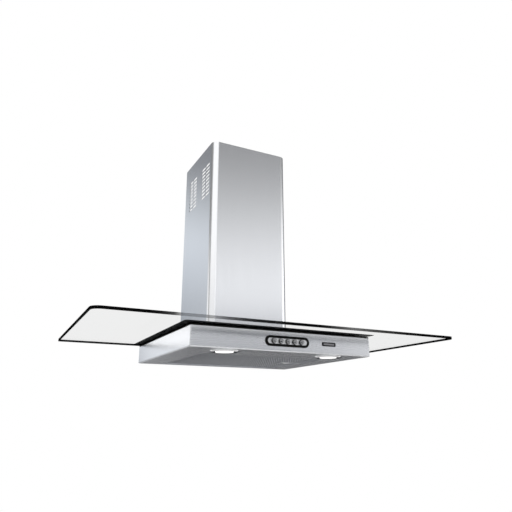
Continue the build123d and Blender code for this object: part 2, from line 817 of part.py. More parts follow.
# Screws through the angles into the chassis
clamp_face = clamp_sheet + chassis_half
with BuildPart() as clamp_screws:
    for side in (-1, 1):
        with BuildSketch(Plane.YZ.offset(side * clamp_face)):
            with Locations((chassis_mid_y, clamp_screw_z)):
                with GridLocations(clamp_screw_pitch, 0, 2, 1):
                    Circle(screw_head_radius)
        extrude(amount=side * screw_head_height)
        with BuildSketch(Plane.YZ.offset(side * clamp_face)):
            with Locations((chassis_mid_y, clamp_screw_z)):
                with GridLocations(clamp_screw_pitch, 0, 2, 1):
                    Circle(screw_radius)
        extrude(amount=-side * screw_length)
    with BuildSketch(Plane.XZ.offset(clamp_sheet - chassis_front_y)):
        with Locations((0, clamp_screw_z)):
            with GridLocations(clamp_screw_pitch, 0, 2, 1):
                Circle(screw_head_radius)
    extrude(amount=screw_head_height)
    with BuildSketch(Plane.XZ.offset(clamp_sheet - chassis_front_y)):
        with Locations((0, clamp_screw_z)):
            with GridLocations(clamp_screw_pitch, 0, 2, 1):
                Circle(screw_radius)
    extrude(amount=-screw_length)
clamp_screws.part.label = "clamp_screws"
export_step(clamp_screws.part, "parts/clamp_screws.step")

# Terminal box on the chassis front
terminal_top_z = chassis_top_z - terminal_below_top
terminal_mid_y = chassis_front_y - terminal_depth / 2

with BuildPart() as terminal_box:
    with BuildSketch(Plane.XY.offset(terminal_top_z)) as terminal_outline:
        with Locations((-terminal_from_middle, terminal_mid_y)):
            Rectangle(terminal_width, terminal_depth)
        fillet(terminal_outline.vertices().group_by(Axis.Y)[0], terminal_fillet)
    extrude(amount=-terminal_height)
terminal_box.part.label = "terminal_box"
export_step(terminal_box.part, "parts/terminal_box.step")

# Cable gland on top of the terminal box
with BuildPart() as cable_gland:
    with BuildSketch(Plane.XY.offset(terminal_top_z)):
        with Locations((-terminal_from_middle, terminal_mid_y)):
            RegularPolygon(gland_flat_radius, 6)
    extrude(amount=gland_hex_height)
    with BuildSketch(Plane.XY.offset(terminal_top_z + gland_hex_height)):
        with Locations((-terminal_from_middle, terminal_mid_y)):
            Circle(gland_cap_radius)
    extrude(amount=gland_cap_height, taper=10)
    with BuildSketch(Plane.XY.offset(terminal_top_z)):
        with Locations((-terminal_from_middle, terminal_mid_y)):
            Circle(gland_bore)
    extrude(amount=gland_hex_height + gland_cap_height, mode=Mode.SUBTRACT)
cable_gland.part.label = "cable_gland"
export_step(cable_gland.part, "parts/cable_gland.step")

# Run capacitor beside it, on a foot
capacitor_mid_y = chassis_front_y - capacitor_radius
with BuildPart() as capacitor:
    with BuildSketch(Plane.XY.offset(terminal_top_z)):
        with Locations((capacitor_from_middle, capacitor_mid_y)):
            Circle(capacitor_radius)
        with Locations((capacitor_from_middle, chassis_front_y - capacitor_radius / 2)):
            Rectangle(capacitor_foot, capacitor_radius)
    extrude(amount=-capacitor_height)
capacitor.part.label = "capacitor"
export_step(capacitor.part, "parts/capacitor.step")

# Control bezel: a black stadium frame with a spigot through the canopy front
front_y = -canopy_depth
window_width = panel_width - 2 * bezel_border_side
window_height = panel_height - 2 * bezel_border_top

with BuildPart() as control_bezel:
    with BuildSketch(Plane.XZ.offset(canopy_depth)):
        with Locations((0, panel_z)):
            SlotOverall(panel_width, panel_height)
    extrude(amount=bezel_proud)
    fillet(control_bezel.faces().sort_by(Axis.Y)[0].edges(), bezel_proud / 2)
    with BuildSketch(Plane.XZ.offset(canopy_depth)):
        with Locations((0, panel_z)):
            SlotOverall(spigot_width, spigot_height)
    extrude(amount=-bezel_spigot_length)
    with BuildSketch(Plane.XZ.offset(canopy_depth + bezel_proud)):
        with Locations((0, panel_z)):
            SlotOverall(window_width, window_height)
    extrude(amount=-bezel_proud - bezel_spigot_length, mode=Mode.SUBTRACT)
control_bezel.part.label = "control_bezel"
export_step(control_bezel.part, "parts/control_bezel.step")

# Bright plate inside the bezel, with a hole for each button
plate_front = canopy_depth + bezel_proud - plate_recess
plate_back = plate_front - plate_thickness
button_count = len(button_names)

with BuildPart() as control_plate:
    with BuildSketch(Plane.XZ.offset(plate_back)):
        with Locations((0, panel_z)):
            SlotOverall(window_width - 2 * plate_fit, window_height - 2 * plate_fit)
            with GridLocations(button_pitch, 0, button_count, 1):
                Circle(button_radius + button_fit, mode=Mode.SUBTRACT)
    extrude(amount=plate_thickness)
control_plate.part.label = "control_plate"
export_step(control_plate.part, "parts/control_plate.step")

# Switch block behind the plate: a pocket and a stem bore for each button
pocket_depth = button_flange_thickness + button_travel + button_end_room
stem_depth = button_flange_thickness + button_stem_length + button_travel + button_end_room
block_depth = stem_depth + block_back
block_width = window_width - 2 * block_fit
block_height = window_height - 2 * block_fit
ear_front = canopy_depth - bezel_spigot_length

with BuildPart() as switch_block:
    with BuildSketch(Plane.XZ.offset(plate_back)):
        with Locations((0, panel_z)):
            SlotOverall(block_width, block_height)
    extrude(amount=-block_depth)
    with BuildSketch(Plane.XZ.offset(ear_front)):
        with Locations((0, panel_z)):
            Rectangle(block_width + 2 * block_ear, block_ear_height)
    extrude(amount=-block_ear_thickness)
    with BuildSketch(Plane.XZ.offset(plate_back)):
        with Locations((0, panel_z)):
            with GridLocations(button_pitch, 0, button_count, 1):
                Circle(button_radius + button_flange + button_fit)
    extrude(amount=-pocket_depth, mode=Mode.SUBTRACT)
    with BuildSketch(Plane.XZ.offset(plate_back)):
        with Locations((0, panel_z)):
            with GridLocations(button_pitch, 0, button_count, 1):
                Circle(button_stem_radius + button_stem_clearance)
    extrude(amount=-stem_depth, mode=Mode.SUBTRACT)
switch_block.part.label = "switch_block"
export_step(switch_block.part, "parts/switch_block.step")

# Push buttons: a domed cap, a flange behind the plate and a stem
cap_front = plate_front + button_height
for index, button_name in enumerate(button_names):
    button_x = (index - (button_count - 1) / 2) * button_pitch
    button_plane = Plane(origin=(button_x, 0, panel_z), x_dir=(1, 0, 0), z_dir=(0, 0, 1))
    with BuildPart() as button:
        with BuildSketch(button_plane):
            with BuildLine():
                dome = ThreePointArc(
                    (0, -cap_front),
                    (button_radius * 0.6, -cap_front + button_dome * 0.36),
                    (button_radius, -cap_front + button_dome),
                )
                Polyline(
                    dome @ 1,
                    (button_radius, -plate_back),
                    (button_radius + button_flange, -plate_back),
                    (button_radius + button_flange, -plate_back + button_flange_thickness),
                    (button_stem_radius, -plate_back + button_flange_thickness),
                    (
                        button_stem_radius,
                        -plate_back + button_flange_thickness + button_stem_length,
                    ),
                    (0, -plate_back + button_flange_thickness + button_stem_length),
                    dome @ 0,
                )
            make_face()
        revolve(axis=Axis((button_x, 0, panel_z), (0, 1, 0)))
    button.part.label = f"button_{button_name}"
    export_step(button.part, f"parts/button_{button_name}.step")

# Lamps: a chrome rim with a shallow domed face, a frosted lens and a holder above
lens_top = lens_depth - lamp_drop
pocket_radius = lens_radius + lens_fit
rim_middle_radius = (lamp_rim_radius + pocket_radius) / 2
rim_middle_drop = (lamp_rim_edge + lamp_drop) / 2 + lamp_rim_crown
ledge_radius = pocket_radius - lens_ledge
can_base = lamp_spigot_height
can_top = can_base + lamp_can_height

for side_name, lamp_x in (("left", -lamp_from_middle), ("right", lamp_from_middle)):
    lamp_plane = Plane(origin=(lamp_x, lamp_y, canopy_floor_z), x_dir=(1, 0, 0), z_dir=(0, -1, 0))
    lamp_axis = Axis((lamp_x, lamp_y, canopy_floor_z), (0, 0, 1))
    with BuildPart() as lamp_ring:
        with BuildSketch(lamp_plane):
            with BuildLine():
                rim_face = ThreePointArc(
                    (lamp_rim_radius, -lamp_rim_edge),
                    (rim_middle_radius, -rim_middle_drop),
                    (pocket_radius, -lamp_drop),
                )
                Polyline(
                    rim_face @ 1,
                    (pocket_radius, lens_top),
                    (ledge_radius, lens_top),
                    (ledge_radius, lamp_spigot_height),
                    (lamp_spigot_radius, lamp_spigot_height),
                    (lamp_spigot_radius, 0),
                    (lamp_rim_radius, 0),
                    rim_face @ 0,
                )
            make_face()
        revolve(axis=lamp_axis)
    lamp_ring.part.label = f"lamp_ring_{side_name}"
    export_step(lamp_ring.part, f"parts/lamp_ring_{side_name}.step")

    with BuildPart() as lamp_lens:
        with BuildSketch(lamp_plane):
            with BuildLine():
                Polyline(
                    (0, -lamp_drop),
                    (lens_radius - lens_bevel_width, -lamp_drop),
                    (lens_radius, lens_bevel - lamp_drop),
                    (lens_radius, lens_top),
                    (0, lens_top),
                    close=True,
                )
            make_face()
        revolve(axis=lamp_axis)
    lamp_lens.part.label = f"lamp_lens_{side_name}"
    export_step(lamp_lens.part, f"parts/lamp_lens_{side_name}.step")

    with BuildPart() as lamp_can:
        with BuildSketch(lamp_plane):
            with BuildLine():
                Polyline(
                    (0, can_base),
                    (lamp_spigot_radius, can_base),
                    (lamp_spigot_radius, can_base + lamp_can_flange),
                    (lamp_can_radius, can_base + lamp_can_flange),
                    (lamp_can_neck, can_top),
                    (0, can_top),
                    close=True,
                )
            make_face()
        revolve(axis=lamp_axis)
    lamp_can.part.label = f"lamp_can_{side_name}"
    export_step(lamp_can.part, f"parts/lamp_can_{side_name}.step")

# Lamp supply on the canopy floor
with BuildPart() as lamp_driver:
    with BuildSketch(Plane.XY.offset(canopy_floor_z + canopy_sheet)):
        with Locations((lamp_from_middle - driver_from_lamp, driver_from_front - canopy_depth)):
            Rectangle(driver_width, driver_depth)
    extrude(amount=driver_height)
lamp_driver.part.label = "lamp_driver"
export_step(lamp_driver.part, "parts/lamp_driver.step")

# Filter frame: a border with hooks on the left and a latch housing on the right
filter_width = opening_width - 2 * filter_gap
filter_depth = opening_depth - 2 * filter_gap
filter_half = filter_width / 2
filter_z = canopy_floor_z + filter_recess
seat_z = canopy_floor_z + opening_lip + rest_gap
tray_width = filter_width - 2 * (filter_border - filter_seat)
tray_depth = filter_depth - 2 * (filter_border - filter_seat)
latch_tip_x = opening_width / 2 + latch_engagement
latch_end_x = latch_tip_x - latch_length
channel_end_x = latch_end_x - latch_travel - latch_end_wall
housing_end_x = channel_end_x - latch_end_wall
housing_width = latch_width + 2 * (latch_side_fit + latch_wall)
channel_width = latch_width + 2 * latch_side_fit
mouth_width = latch_width - 2 * latch_ledge
channel_top_z = seat_z + latch_thickness + rest_gap

with BuildPart() as filter_frame:
    with BuildSketch(Plane.XY.offset(filter_z)):
        with Locations((0, opening_mid_y)):
            RectangleRounded(filter_width, filter_depth, filter_corner)
            Rectangle(
                filter_width - 2 * filter_border,
                filter_depth - 2 * filter_border,
                mode=Mode.SUBTRACT,
            )
    extrude(amount=filter_height)
    with BuildSketch(Plane.XY.offset(filter_z + filter_lip)):
        with Locations((0, opening_mid_y)):
            Rectangle(tray_width, tray_depth)
    extrude(amount=filter_height, mode=Mode.SUBTRACT)
    with BuildSketch(Plane.XY.offset(filter_z)):
        with Locations(((housing_end_x + filter_half) / 2, opening_mid_y)):
            Rectangle(filter_half - housing_end_x, housing_width)
    extrude(amount=filter_height)
    with BuildSketch(Plane.XY.offset(filter_z)):
        with Locations(((channel_end_x + latch_tip_x) / 2, opening_mid_y)):
            Rectangle(latch_tip_x - channel_end_x, mouth_width)
    extrude(amount=channel_top_z - filter_z, mode=Mode.SUBTRACT)
    with BuildSketch(Plane.XY.offset(seat_z - rest_gap)):
        with Locations(((channel_end_x + latch_tip_x) / 2, opening_mid_y)):
            Rectangle(latch_tip_x - channel_end_x, channel_width)
    extrude(amount=channel_top_z - seat_z + rest_gap, mode=Mode.SUBTRACT)
    with BuildSketch(Plane.XY.offset(seat_z)):
        with Locations((-(filter_half + opening_width / 2 + hook_reach) / 2, opening_mid_y)):
            with GridLocations(0, hook_spread, 1, 2):
                Rectangle(opening_width / 2 + hook_reach - filter_half, hook_width)
    extrude(amount=hook_thickness)
filter_frame.part.label = "filter_frame"
export_step(filter_frame.part, "parts/filter_frame.step")

# Mesh sheet in the frame: staggered diamonds, cut away round the latch housing
sheet_width = tray_width - 2 * filter_fit
sheet_depth = tray_depth - 2 * filter_fit
housing_cut_x = housing_end_x - filter_fit
housing_cut_width = housing_width + 2 * filter_fit
mesh_columns = int((sheet_width - 2 * mesh_edge) // mesh_pitch_x)
mesh_rows = int((sheet_depth - 2 * mesh_edge) // mesh_pitch_y)
diamond_x = (mesh_pitch_x - mesh_strand) / 2
diamond_y = (mesh_pitch_y - mesh_strand) / 2


def clear_of_housing(x, y):
    """Say whether a diamond at this place keeps a strand's width off the latch housing."""
    beside = abs(y) > housing_cut_width / 2 + diamond_y + mesh_strand
    before = x < housing_cut_x - diamond_x - mesh_strand
    return beside or before


mesh_places = [
    (column * mesh_pitch_x / 2, opening_mid_y + row * mesh_pitch_y / 2)
    for column in range(1 - mesh_columns, mesh_columns)
    for row in range(1 - mesh_rows, mesh_rows)
    if (column + mesh_columns) % 2 == (row + mesh_rows) % 2
    and clear_of_housing(column * mesh_pitch_x / 2, row * mesh_pitch_y / 2)
]

with BuildSketch() as diamond:
    with BuildLine():
        Polyline((diamond_x, 0), (0, diamond_y), (-diamond_x, 0), (0, -diamond_y), close=True)
    make_face()

with BuildPart() as filter_mesh:
    with BuildSketch(Plane.XY.offset(filter_z + filter_lip)):
        with Locations((0, opening_mid_y)):
            Rectangle(sheet_width, sheet_depth)
        with Locations(*mesh_places):
            add(diamond.sketch, mode=Mode.SUBTRACT)
        with Locations(((housing_cut_x + filter_half) / 2, opening_mid_y)):
            Rectangle(filter_half - housing_cut_x, housing_cut_width, mode=Mode.SUBTRACT)
    extrude(amount=mesh_thickness)
filter_mesh.part.label = "filter_mesh"
export_step(filter_mesh.part, "parts/filter_mesh.step")

# Layers of grease mesh above the sheet, as one thin slab
with BuildPart() as filter_pack:
    with BuildSketch(Plane.XY.offset(filter_z + filter_lip + mesh_thickness)):
        with Locations((0, opening_mid_y)):
            Rectangle(sheet_width, sheet_depth)
        with Locations(((housing_cut_x + filter_half) / 2, opening_mid_y)):
            Rectangle(filter_half - housing_cut_x, housing_cut_width, mode=Mode.SUBTRACT)
    extrude(amount=pack_thickness)
filter_pack.part.label = "filter_pack"
export_step(filter_pack.part, "parts/filter_pack.step")

# Latch: a tongue over the opening's right edge, with a finger grip below
grip_x = latch_tip_x - latch_grip_from_tip
with BuildPart() as filter_latch:
    with BuildSketch(Plane.XY.offset(seat_z)):
        with Locations(((latch_end_x + latch_tip_x) / 2, opening_mid_y)):
            Rectangle(latch_length, latch_width)
    extrude(amount=latch_thickness)
    with BuildSketch(Plane.XY.offset(filter_z - latch_grip_drop)):
        with Locations((grip_x, opening_mid_y)):
            RectangleRounded(latch_grip_length, mouth_width - 2 * latch_grip_fit, latch_grip_length / 4)
    extrude(amount=seat_z - filter_z + latch_grip_drop)
filter_latch.part.label = "filter_latch"
export_step(filter_latch.part, "parts/filter_latch.step")
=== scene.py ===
"""Looks of a wall-mounted range hood: flat glass panel, shallow steel canopy, square chimney."""

import math
from functools import partial

import bmesh
import bpy
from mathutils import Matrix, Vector


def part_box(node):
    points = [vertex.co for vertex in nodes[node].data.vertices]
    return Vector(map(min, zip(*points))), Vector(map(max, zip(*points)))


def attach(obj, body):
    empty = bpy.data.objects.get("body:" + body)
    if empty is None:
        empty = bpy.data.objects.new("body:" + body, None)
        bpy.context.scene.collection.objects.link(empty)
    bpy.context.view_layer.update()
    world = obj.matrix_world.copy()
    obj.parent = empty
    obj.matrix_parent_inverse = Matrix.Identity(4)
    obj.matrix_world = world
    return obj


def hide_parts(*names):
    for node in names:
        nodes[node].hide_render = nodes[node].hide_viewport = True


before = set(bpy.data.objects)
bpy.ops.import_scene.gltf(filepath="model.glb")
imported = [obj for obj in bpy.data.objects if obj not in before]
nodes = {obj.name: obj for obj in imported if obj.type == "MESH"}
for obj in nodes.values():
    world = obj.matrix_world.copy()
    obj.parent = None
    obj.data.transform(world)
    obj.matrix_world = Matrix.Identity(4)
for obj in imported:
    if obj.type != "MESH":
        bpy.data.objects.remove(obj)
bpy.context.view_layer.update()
scene = bpy.context.scene
scene.view_settings.view_transform = "Standard"

MM = 0.001
WELD = 0.001 * MM
CORNER_STEPS = 10

# Camera, fitted to the photograph's straight edges
CAMERA_PLACE = Vector((-0.59079, -1.44330, -0.49067))
CAMERA_YAW = math.radians(26.618)
CAMERA_PITCH = math.radians(17.149)
CAMERA_LENS_MM = 36.02
SENSOR_MM = 36.0

# Solids: facets this close are joined, and edges sharper than the angle stay sharp
FACET_JOIN = 0.002 * MM
SHARP_ANGLE = math.radians(32)

# Grain of the finishes: scale of steel's streaks against its scratches, height of plastic's grain
STREAK_SHARE = 0.06
PLASTIC_GRAIN = 0.05 * MM

# Dark edge of the glass, a painted reflection standing in for the dark look that reflections
# inside glass give its edge, which lets light through in front of a depth: (place across, share)
GLASS_FRONT_CORNER = 20 * MM
GLASS_REAR_CORNER = 6 * MM
EDGE_PROUD = 0.12 * MM
EDGE_DEPTH = 2.4 * MM
EDGE_ARRIS = 0.06 * MM
EDGE_CLEAR_BEFORE = -300 * MM
EDGE_CLEARNESS = (
    (-340 * MM, 0.0),
    (-295 * MM, 0.25),
    (-275 * MM, 0.78),
    (-205 * MM, 0.72),
    (-180 * MM, 0.5),
    (-110 * MM, 0.17),
    (-60 * MM, 0.15),
    (-35 * MM, 0.0),
    (30 * MM, 0.0),
    (130 * MM, 0.42),
    (210 * MM, 0.24),
    (330 * MM, 0.0),
)

# Black print on the glass, over the canopy
PRINT_HALF_WIDTH = 248.5 * MM
PRINT_FRONT = 8 * MM
PRINT_REAR_GAP = 0.5 * MM
PRINT_CORNER = 8 * MM
PRINT_LIFT = 0.02 * MM
PRINT_THICKNESS = 0.12 * MM
PRINT_CLEARANCE = 0.3 * MM

# Bare plate beside the buttons
BADGE_WIDTH = 38.7 * MM
BADGE_HEIGHT = 9.6 * MM
BADGE_THICKNESS = 0.8 * MM
BADGE_CENTRE_X = 113 * MM
BADGE_CORNER_SHARE = 0.3
BADGE_CORNER_STEPS = 6
BADGE_BEVEL = 0.5 * MM
BADGE_BEVEL_DEPTH = 0.3 * MM
BADGE_FIELD_WIDTH = 30 * MM
BADGE_FIELD_HEIGHT = 4.2 * MM
BADGE_FIELD_PROUD = 0.1 * MM

# Painted shade: a dark band round the control plate and dark rings round its buttons, for the
# shadowed gaps there
GAP_SHADE_WIDTH = 0.6 * MM
GAP_SHADE_THICKNESS = 0.25 * MM
GAP_SHADE_END_GAP = 0.001 * MM
BUTTONS = ("button_light", "button_off", "button_speed_1", "button_speed_2", "button_speed_3")
BUTTON_RING_INNER = 5.5 * MM
BUTTON_RING_OUTER = 6.05 * MM
BUTTON_RING_THICKNESS = 0.2 * MM
BUTTON_RING_SEGMENTS = 48

# Crowned trim on each lamp rim: radius and drop below the canopy's floor, in millimetres
TRIM_OUTER = (33.5, 0.8)
TRIM_CROWN = (26.5, 3.3)
TRIM_INNER = (21.1, 2.3)
TRIM_BACK = 0.4
TRIM_STEPS = 8
TRIM_SEGMENTS = 96

# Expanded metal net in the filter frame, with room round the latch
NET_PITCH_X = 7 * MM
NET_PITCH_Y = 5.2 * MM
NET_STRAND = 1.6 * MM
NET_OVERLAP_SHARE = 0.4
NET_SHEET = 0.5 * MM
NET_TILT = math.radians(32)
NET_GLINT_SIZE = (3.2 * MM, 18 * MM)
NET_GLINT_TURN = math.radians(-20)
NET_GLINT_DARK = 0.25
NET_GLINT_SPREAD = (-60 * MM, 60 * MM)
NET_LATCH_X = 119.5 * MM
NET_LATCH_HALF = 21 * MM

# Solids that the pieces follow
glass_low, glass_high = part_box("glass_panel")
canopy_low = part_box("canopy_shell")[0]
cover_low, cover_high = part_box("chimney_cover")
panel_low, panel_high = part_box("control_bezel")
plate_low, plate_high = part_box("control_plate")
sheet_low, sheet_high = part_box("filter_mesh")


# Nodes

# Numbers of a Mix node's colour sockets, because other sockets have the same names
MIX_SHARE, MIX_FIRST, MIX_SECOND, MIX_RESULT = 0, 6, 7, 2


def feed(tree, socket, value):
    """Give a node's input a number, a vector, a colour or another node's output."""
    if isinstance(value, bpy.types.NodeSocket):
        tree.links.new(value, socket)
    elif socket.type == "RGBA":
        socket.default_value = (*value, 1.0)
    else:
        socket.default_value = value


def add_node(tree, kind, inputs=None, **settings):
    """Add a node with settings, and feed its inputs by name or number."""
    node = tree.nodes.new(kind)
    for key, value in settings.items():
        setattr(node, key, value)
    for key, value in (inputs or {}).items():
        feed(tree, node.inputs[key], value)
    return node


def first_output(tree, kind, inputs=None, **settings):
    """Add a node and return the first of its outputs."""
    return add_node(tree, kind, inputs, **settings).outputs[0]


def calc(tree, operation, first, second=None):
    """Add a maths node on numbers or other nodes' outputs."""
    inputs = {0: first} if second is None else {0: first, 1: second}
    return first_output(tree, "ShaderNodeMath", inputs, operation=operation)


def share_between(tree, value, low, high):
    """Turn a value between two bounds into a share from 0 to 1."""
    inputs = {"Value": value, "From Min": low, "From Max": high}
    return first_output(tree, "ShaderNodeMapRange", inputs)


def blend(tree, share, first, second, blend_type="MIX"):
    """Mix two colours by a share."""
    inputs = {MIX_SHARE: share, MIX_FIRST: first, MIX_SECOND: second}
    node = add_node(tree, "ShaderNodeMix", inputs, data_type="RGBA", blend_type=blend_type)
    return node.outputs[MIX_RESULT]


def ramp(tree, factor, *stops):
    """Add a colour ramp with (position, colour or grey) stops."""
    node = add_node(tree, "ShaderNodeValToRGB", {"Fac": factor})
    elements = node.color_ramp.elements
    while len(elements) < len(stops):
        elements.new(0.5)
    for element, (position, value) in zip(elements, stops):
        colour = (value, value, value) if isinstance(value, (int, float)) else value
        element.position = position
        element.color = (*colour, 1.0)
    return node.outputs["Color"]


def coordinates(tree, kind):
    """Return the X, Y and Z outputs of one kind of texture coordinates."""
    place = add_node(tree, "ShaderNodeTexCoord").outputs[kind]
    return add_node(tree, "ShaderNodeSeparateXYZ", {"Vector": place}).outputs


def object_noise(tree, stretch, detail=3.0):
    """Add a noise texture on object coordinates, with one scale or one for each axis."""
    scales = (stretch,) * 3 if isinstance(stretch, (int, float)) else stretch
    place = add_node(tree, "ShaderNodeTexCoord").outputs["Object"]
    grain = first_output(tree, "ShaderNodeMapping", {"Vector": place, "Scale": scales})
    inputs = {"Vector": grain, "Scale": 1.0, "Detail": detail}
    return add_node(tree, "ShaderNodeTexNoise", inputs).outputs["Fac"]


def bump(tree, height, strength, distance):
    """Return a normal that leans with a height."""
    inputs = {"Height": height, "Strength": strength, "Distance": distance}
    return first_output(tree, "ShaderNodeBump", inputs)


def show_through(tree, share):
    """Mix a material's own shader with a clear one, by a share."""
    own = tree.nodes["Principled BSDF"].outputs["BSDF"]
    clear = first_output(tree, "ShaderNodeBsdfTransparent")
    mixed = first_output(tree, "ShaderNodeMixShader", {"Fac": share, 1: own, 2: clear})
    feed(tree, tree.nodes["Material Output"].inputs["Surface"], mixed)


def geometry_tree(name, inputs=()):
    """Return a new Geometry Nodes tree, what it is given and the socket for its result."""
    tree = bpy.data.node_groups.new(name, "GeometryNodeTree")
    tree.interface.new_socket("Geometry", in_out="INPUT", socket_type="NodeSocketGeometry")
    for label, kind in inputs:
        tree.interface.new_socket(label, in_out="INPUT", socket_type=kind)
    tree.interface.new_socket("Geometry", in_out="OUTPUT", socket_type="NodeSocketGeometry")
    given = add_node(tree, "NodeGroupInput").outputs
    return tree, given, add_node(tree, "NodeGroupOutput").inputs["Geometry"]


# Materials


def new_material(name):
    """Return a fresh material and its node tree."""
    material = bpy.data.materials.new(name)
    material.use_nodes = True
    return material, material.node_tree


def paint(material, values):
    """Feed the inputs of a material's Principled shader by name, and return the material."""
    tree = material.node_tree
    for label, value in values.items():
        feed(tree, tree.nodes["Principled BSDF"].inputs[label], value)
    return material


def base_colour(material):
    """Return the output that feeds a material's base colour."""
    shader = material.node_tree.nodes["Principled BSDF"]
    return shader.inputs["Base Color"].links[0].from_socket


def brushed_steel(
    name, tone, roughness, stretch, spread=0.06, depth=0.004, streak=0.0, metallic=1.0, grain=0.15
):
    """Steel with fine parallel scratches that are long where the stretch is small."""
    material, tree = new_material(name)
    scratches = object_noise(tree, stretch, detail=4.0)
    darker = tuple(c * (1 - spread) for c in tone)
    colour = ramp(tree, scratches, (0.3, darker), (0.7, tone))
    if streak:
        broad = object_noise(tree, tuple(c * STREAK_SHARE for c in stretch), detail=2.0)
        shade = ramp(tree, broad, (0.35, 1.0 - streak), (0.65, 1.0))
        colour = blend(tree, 1.0, colour, shade, "MULTIPLY")
    low, high = roughness * (1 - grain), roughness * (1 + grain)
    return paint(
        material,
        {
            "Base Color": colour,
            "Roughness": ramp(tree, scratches, (0.3, low), (0.7, high)),
            "Normal": bump(tree, scratches, 1.0, depth * MM),
            "Metallic": metallic,
        },
    )


def chrome_plate(name, tone, roughness):
    """Bright plating with a faint haze."""
    material, tree = new_material(name)
    haze = object_noise(tree, 90, detail=2.0)
    rough = ramp(tree, haze, (0.35, roughness * 0.6), (0.75, roughness * 1.6))
    return paint(material, {"Base Color": tone, "Roughness": rough, "Metallic": 1.0})


def shaded_side_button(name, tone, side_shade, roughness):
    """Satin metal on the faces that look to the front; the sides are painted shade, near black and
    not metal.
    """
    material, tree = new_material(name)
    facing = calc(tree, "MULTIPLY", coordinates(tree, "Normal")["Y"], -1.0)
    haze = object_noise(tree, 300, detail=2.0)
    return paint(
        material,
        {
            "Base Color": ramp(tree, facing, (0.55, side_shade), (0.7, tone)),
            "Metallic": ramp(tree, facing, (0.55, 0.0), (0.7, 1.0)),
            "Roughness": ramp(tree, haze, (0.35, roughness * 0.8), (0.75, roughness * 1.3)),
            "Specular IOR Level": 0.1,
        },
    )


def moulded_plastic(name, tone, roughness, grain=600.0, depth=0.08, gloss=0.5):
    """Moulded plastic with a fine spark-eroded grain."""
    material, tree = new_material(name)
    speck = object_noise(tree, grain, detail=2.0)
    lighter = tuple(min(1.0, c * 1.12 + 0.004) for c in tone)
    low, high = roughness * 0.9, min(1.0, roughness * 1.12)
    return paint(
        material,
        {
            "Base Color": ramp(tree, speck, (0.35, tone), (0.7, lighter)),
            "Roughness": ramp(tree, speck, (0.3, low), (0.7, high)),
            "Normal": bump(tree, speck, depth, PLASTIC_GRAIN),
            "Specular IOR Level": gloss,
        },
    )


def galvanised_sheet(name, dark, light):
    """Zinc coating with crystal spangles."""
    material, tree = new_material(name)
    place = add_node(tree, "ShaderNodeTexCoord").outputs["Object"]
    spangle = add_node(tree, "ShaderNodeTexVoronoi", {"Vector": place, "Scale": 130.0}).outputs
    return paint(
        material,
        {
            "Base Color": ramp(tree, spangle["Color"], (0.1, dark), (0.9, light)),
            "Roughness": ramp(tree, spangle["Distance"], (0.0, 0.36), (0.8, 0.5)),
            "Metallic": 1.0,
        },
    )


def clear_glass(name, tint):
    """Clear plate with a faint tint and a polished surface."""
    material, tree = new_material(name)
    smear = object_noise(tree, 7)
    return paint(
        material,
        {
            "Base Color": tint,
            "Roughness": ramp(tree, smear, (0.45, 0.0), (0.8, 0.012)),
            "Transmission Weight": 1.0,
            "IOR": 1.003,
            "Coat Weight": 0.05,
            "Coat IOR": 1.5,
            "Coat Roughness": 0.0,
        },
    )


def uneven_black(name, tone, roughness, gloss):
    """Ceramic ink on glass, almost black and slightly uneven; also the painted reflection on the
    glass's dark edge.
    """
    material, tree = new_material(name)
    patch = object_noise(tree, 60)
    lighter = (tone * 1.6, tone * 1.6, tone * 1.7)
    return paint(
        material,
        {
            "Base Color": ramp(tree, patch, (0.3, tone), (0.8, lighter)),
            "Roughness": ramp(tree, patch, (0.3, roughness * 0.9), (0.8, roughness * 1.2)),
            "Specular IOR Level": gloss,
        },
    )


def lit_lens(name):
    """Frosted cover over a lit lamp, with a fine uneven glow."""
    material, tree = new_material(name)
    frost = object_noise(tree, 500, detail=2.0)
    glow = ramp(tree, frost, (0.3, (0.96, 0.95, 0.92)), (0.7, (1.0, 0.995, 0.98)))
    return paint(
        material,
        {
            "Base Color": glow,
            "Emission Color": glow,
            "Emission Strength": 1.1,
            "Roughness": 0.4,
        },
    )


def paint_fold_highlights(material, tone, axes):
    """Paint a highlight on a metal: a lighter colour on the folds between faces that look along
    two axes.
    """
    tree = material.node_tree
    normal = coordinates(tree, "Normal")
    lean = calc(tree, "ABSOLUTE", calc(tree, "MULTIPLY", normal[axes[0]], normal[axes[1]]))
    share = ramp(tree, lean, (0.02, 0.0), (0.1, 1.0))
    paint(material, {"Base Color": blend(tree, share, base_colour(material), tone)})


def let_light_through(material, half_width, behind, stops):
    """Make a material partly clear before a depth, by (place across in metres, share) stops."""
    tree = material.node_tree
    place = coordinates(tree, "Object")
    across = share_between(tree, place["X"], -half_width, half_width)
    spots = ((x / (2 * half_width) + 0.5, clear) for x, clear in stops)
    before = calc(tree, "LESS_THAN", place["Y"], behind)
    show_through(tree, calc(tree, "MULTIPLY", ramp(tree, across, *spots), before))


def add_glints(material, size, turn, dark, spread):
    """Paint glints on a metal: darken it in staggered patches, as strands of mesh catch the light
    in turn, faint to the left.
    """
    tree = material.node_tree
    place = add_node(tree, "ShaderNodeTexCoord").outputs["Object"]
    inputs = {"Vector": place, "Rotation": (0, 0, turn), "Scale": (*size, 1.0)}
    turned = first_output(tree, "ShaderNodeMapping", inputs, vector_type="TEXTURE")
    patches = add_node(tree, "ShaderNodeTexChecker", {"Vector": turned, "Scale": 1.0})
    reach = share_between(tree, coordinates(tree, "Object")["X"], *spread)
    inputs = {"Factor": reach, "A": (1 + dark) / 2, "B": patches.outputs["Fac"]}
    shade = ramp(tree, first_output(tree, "ShaderNodeMix", inputs), (0.0, dark), (1.0, 1.0))
    tone = blend(tree, 1.0, base_colour(material), shade, "MULTIPLY")
    paint(material, {"Base Color": tone})


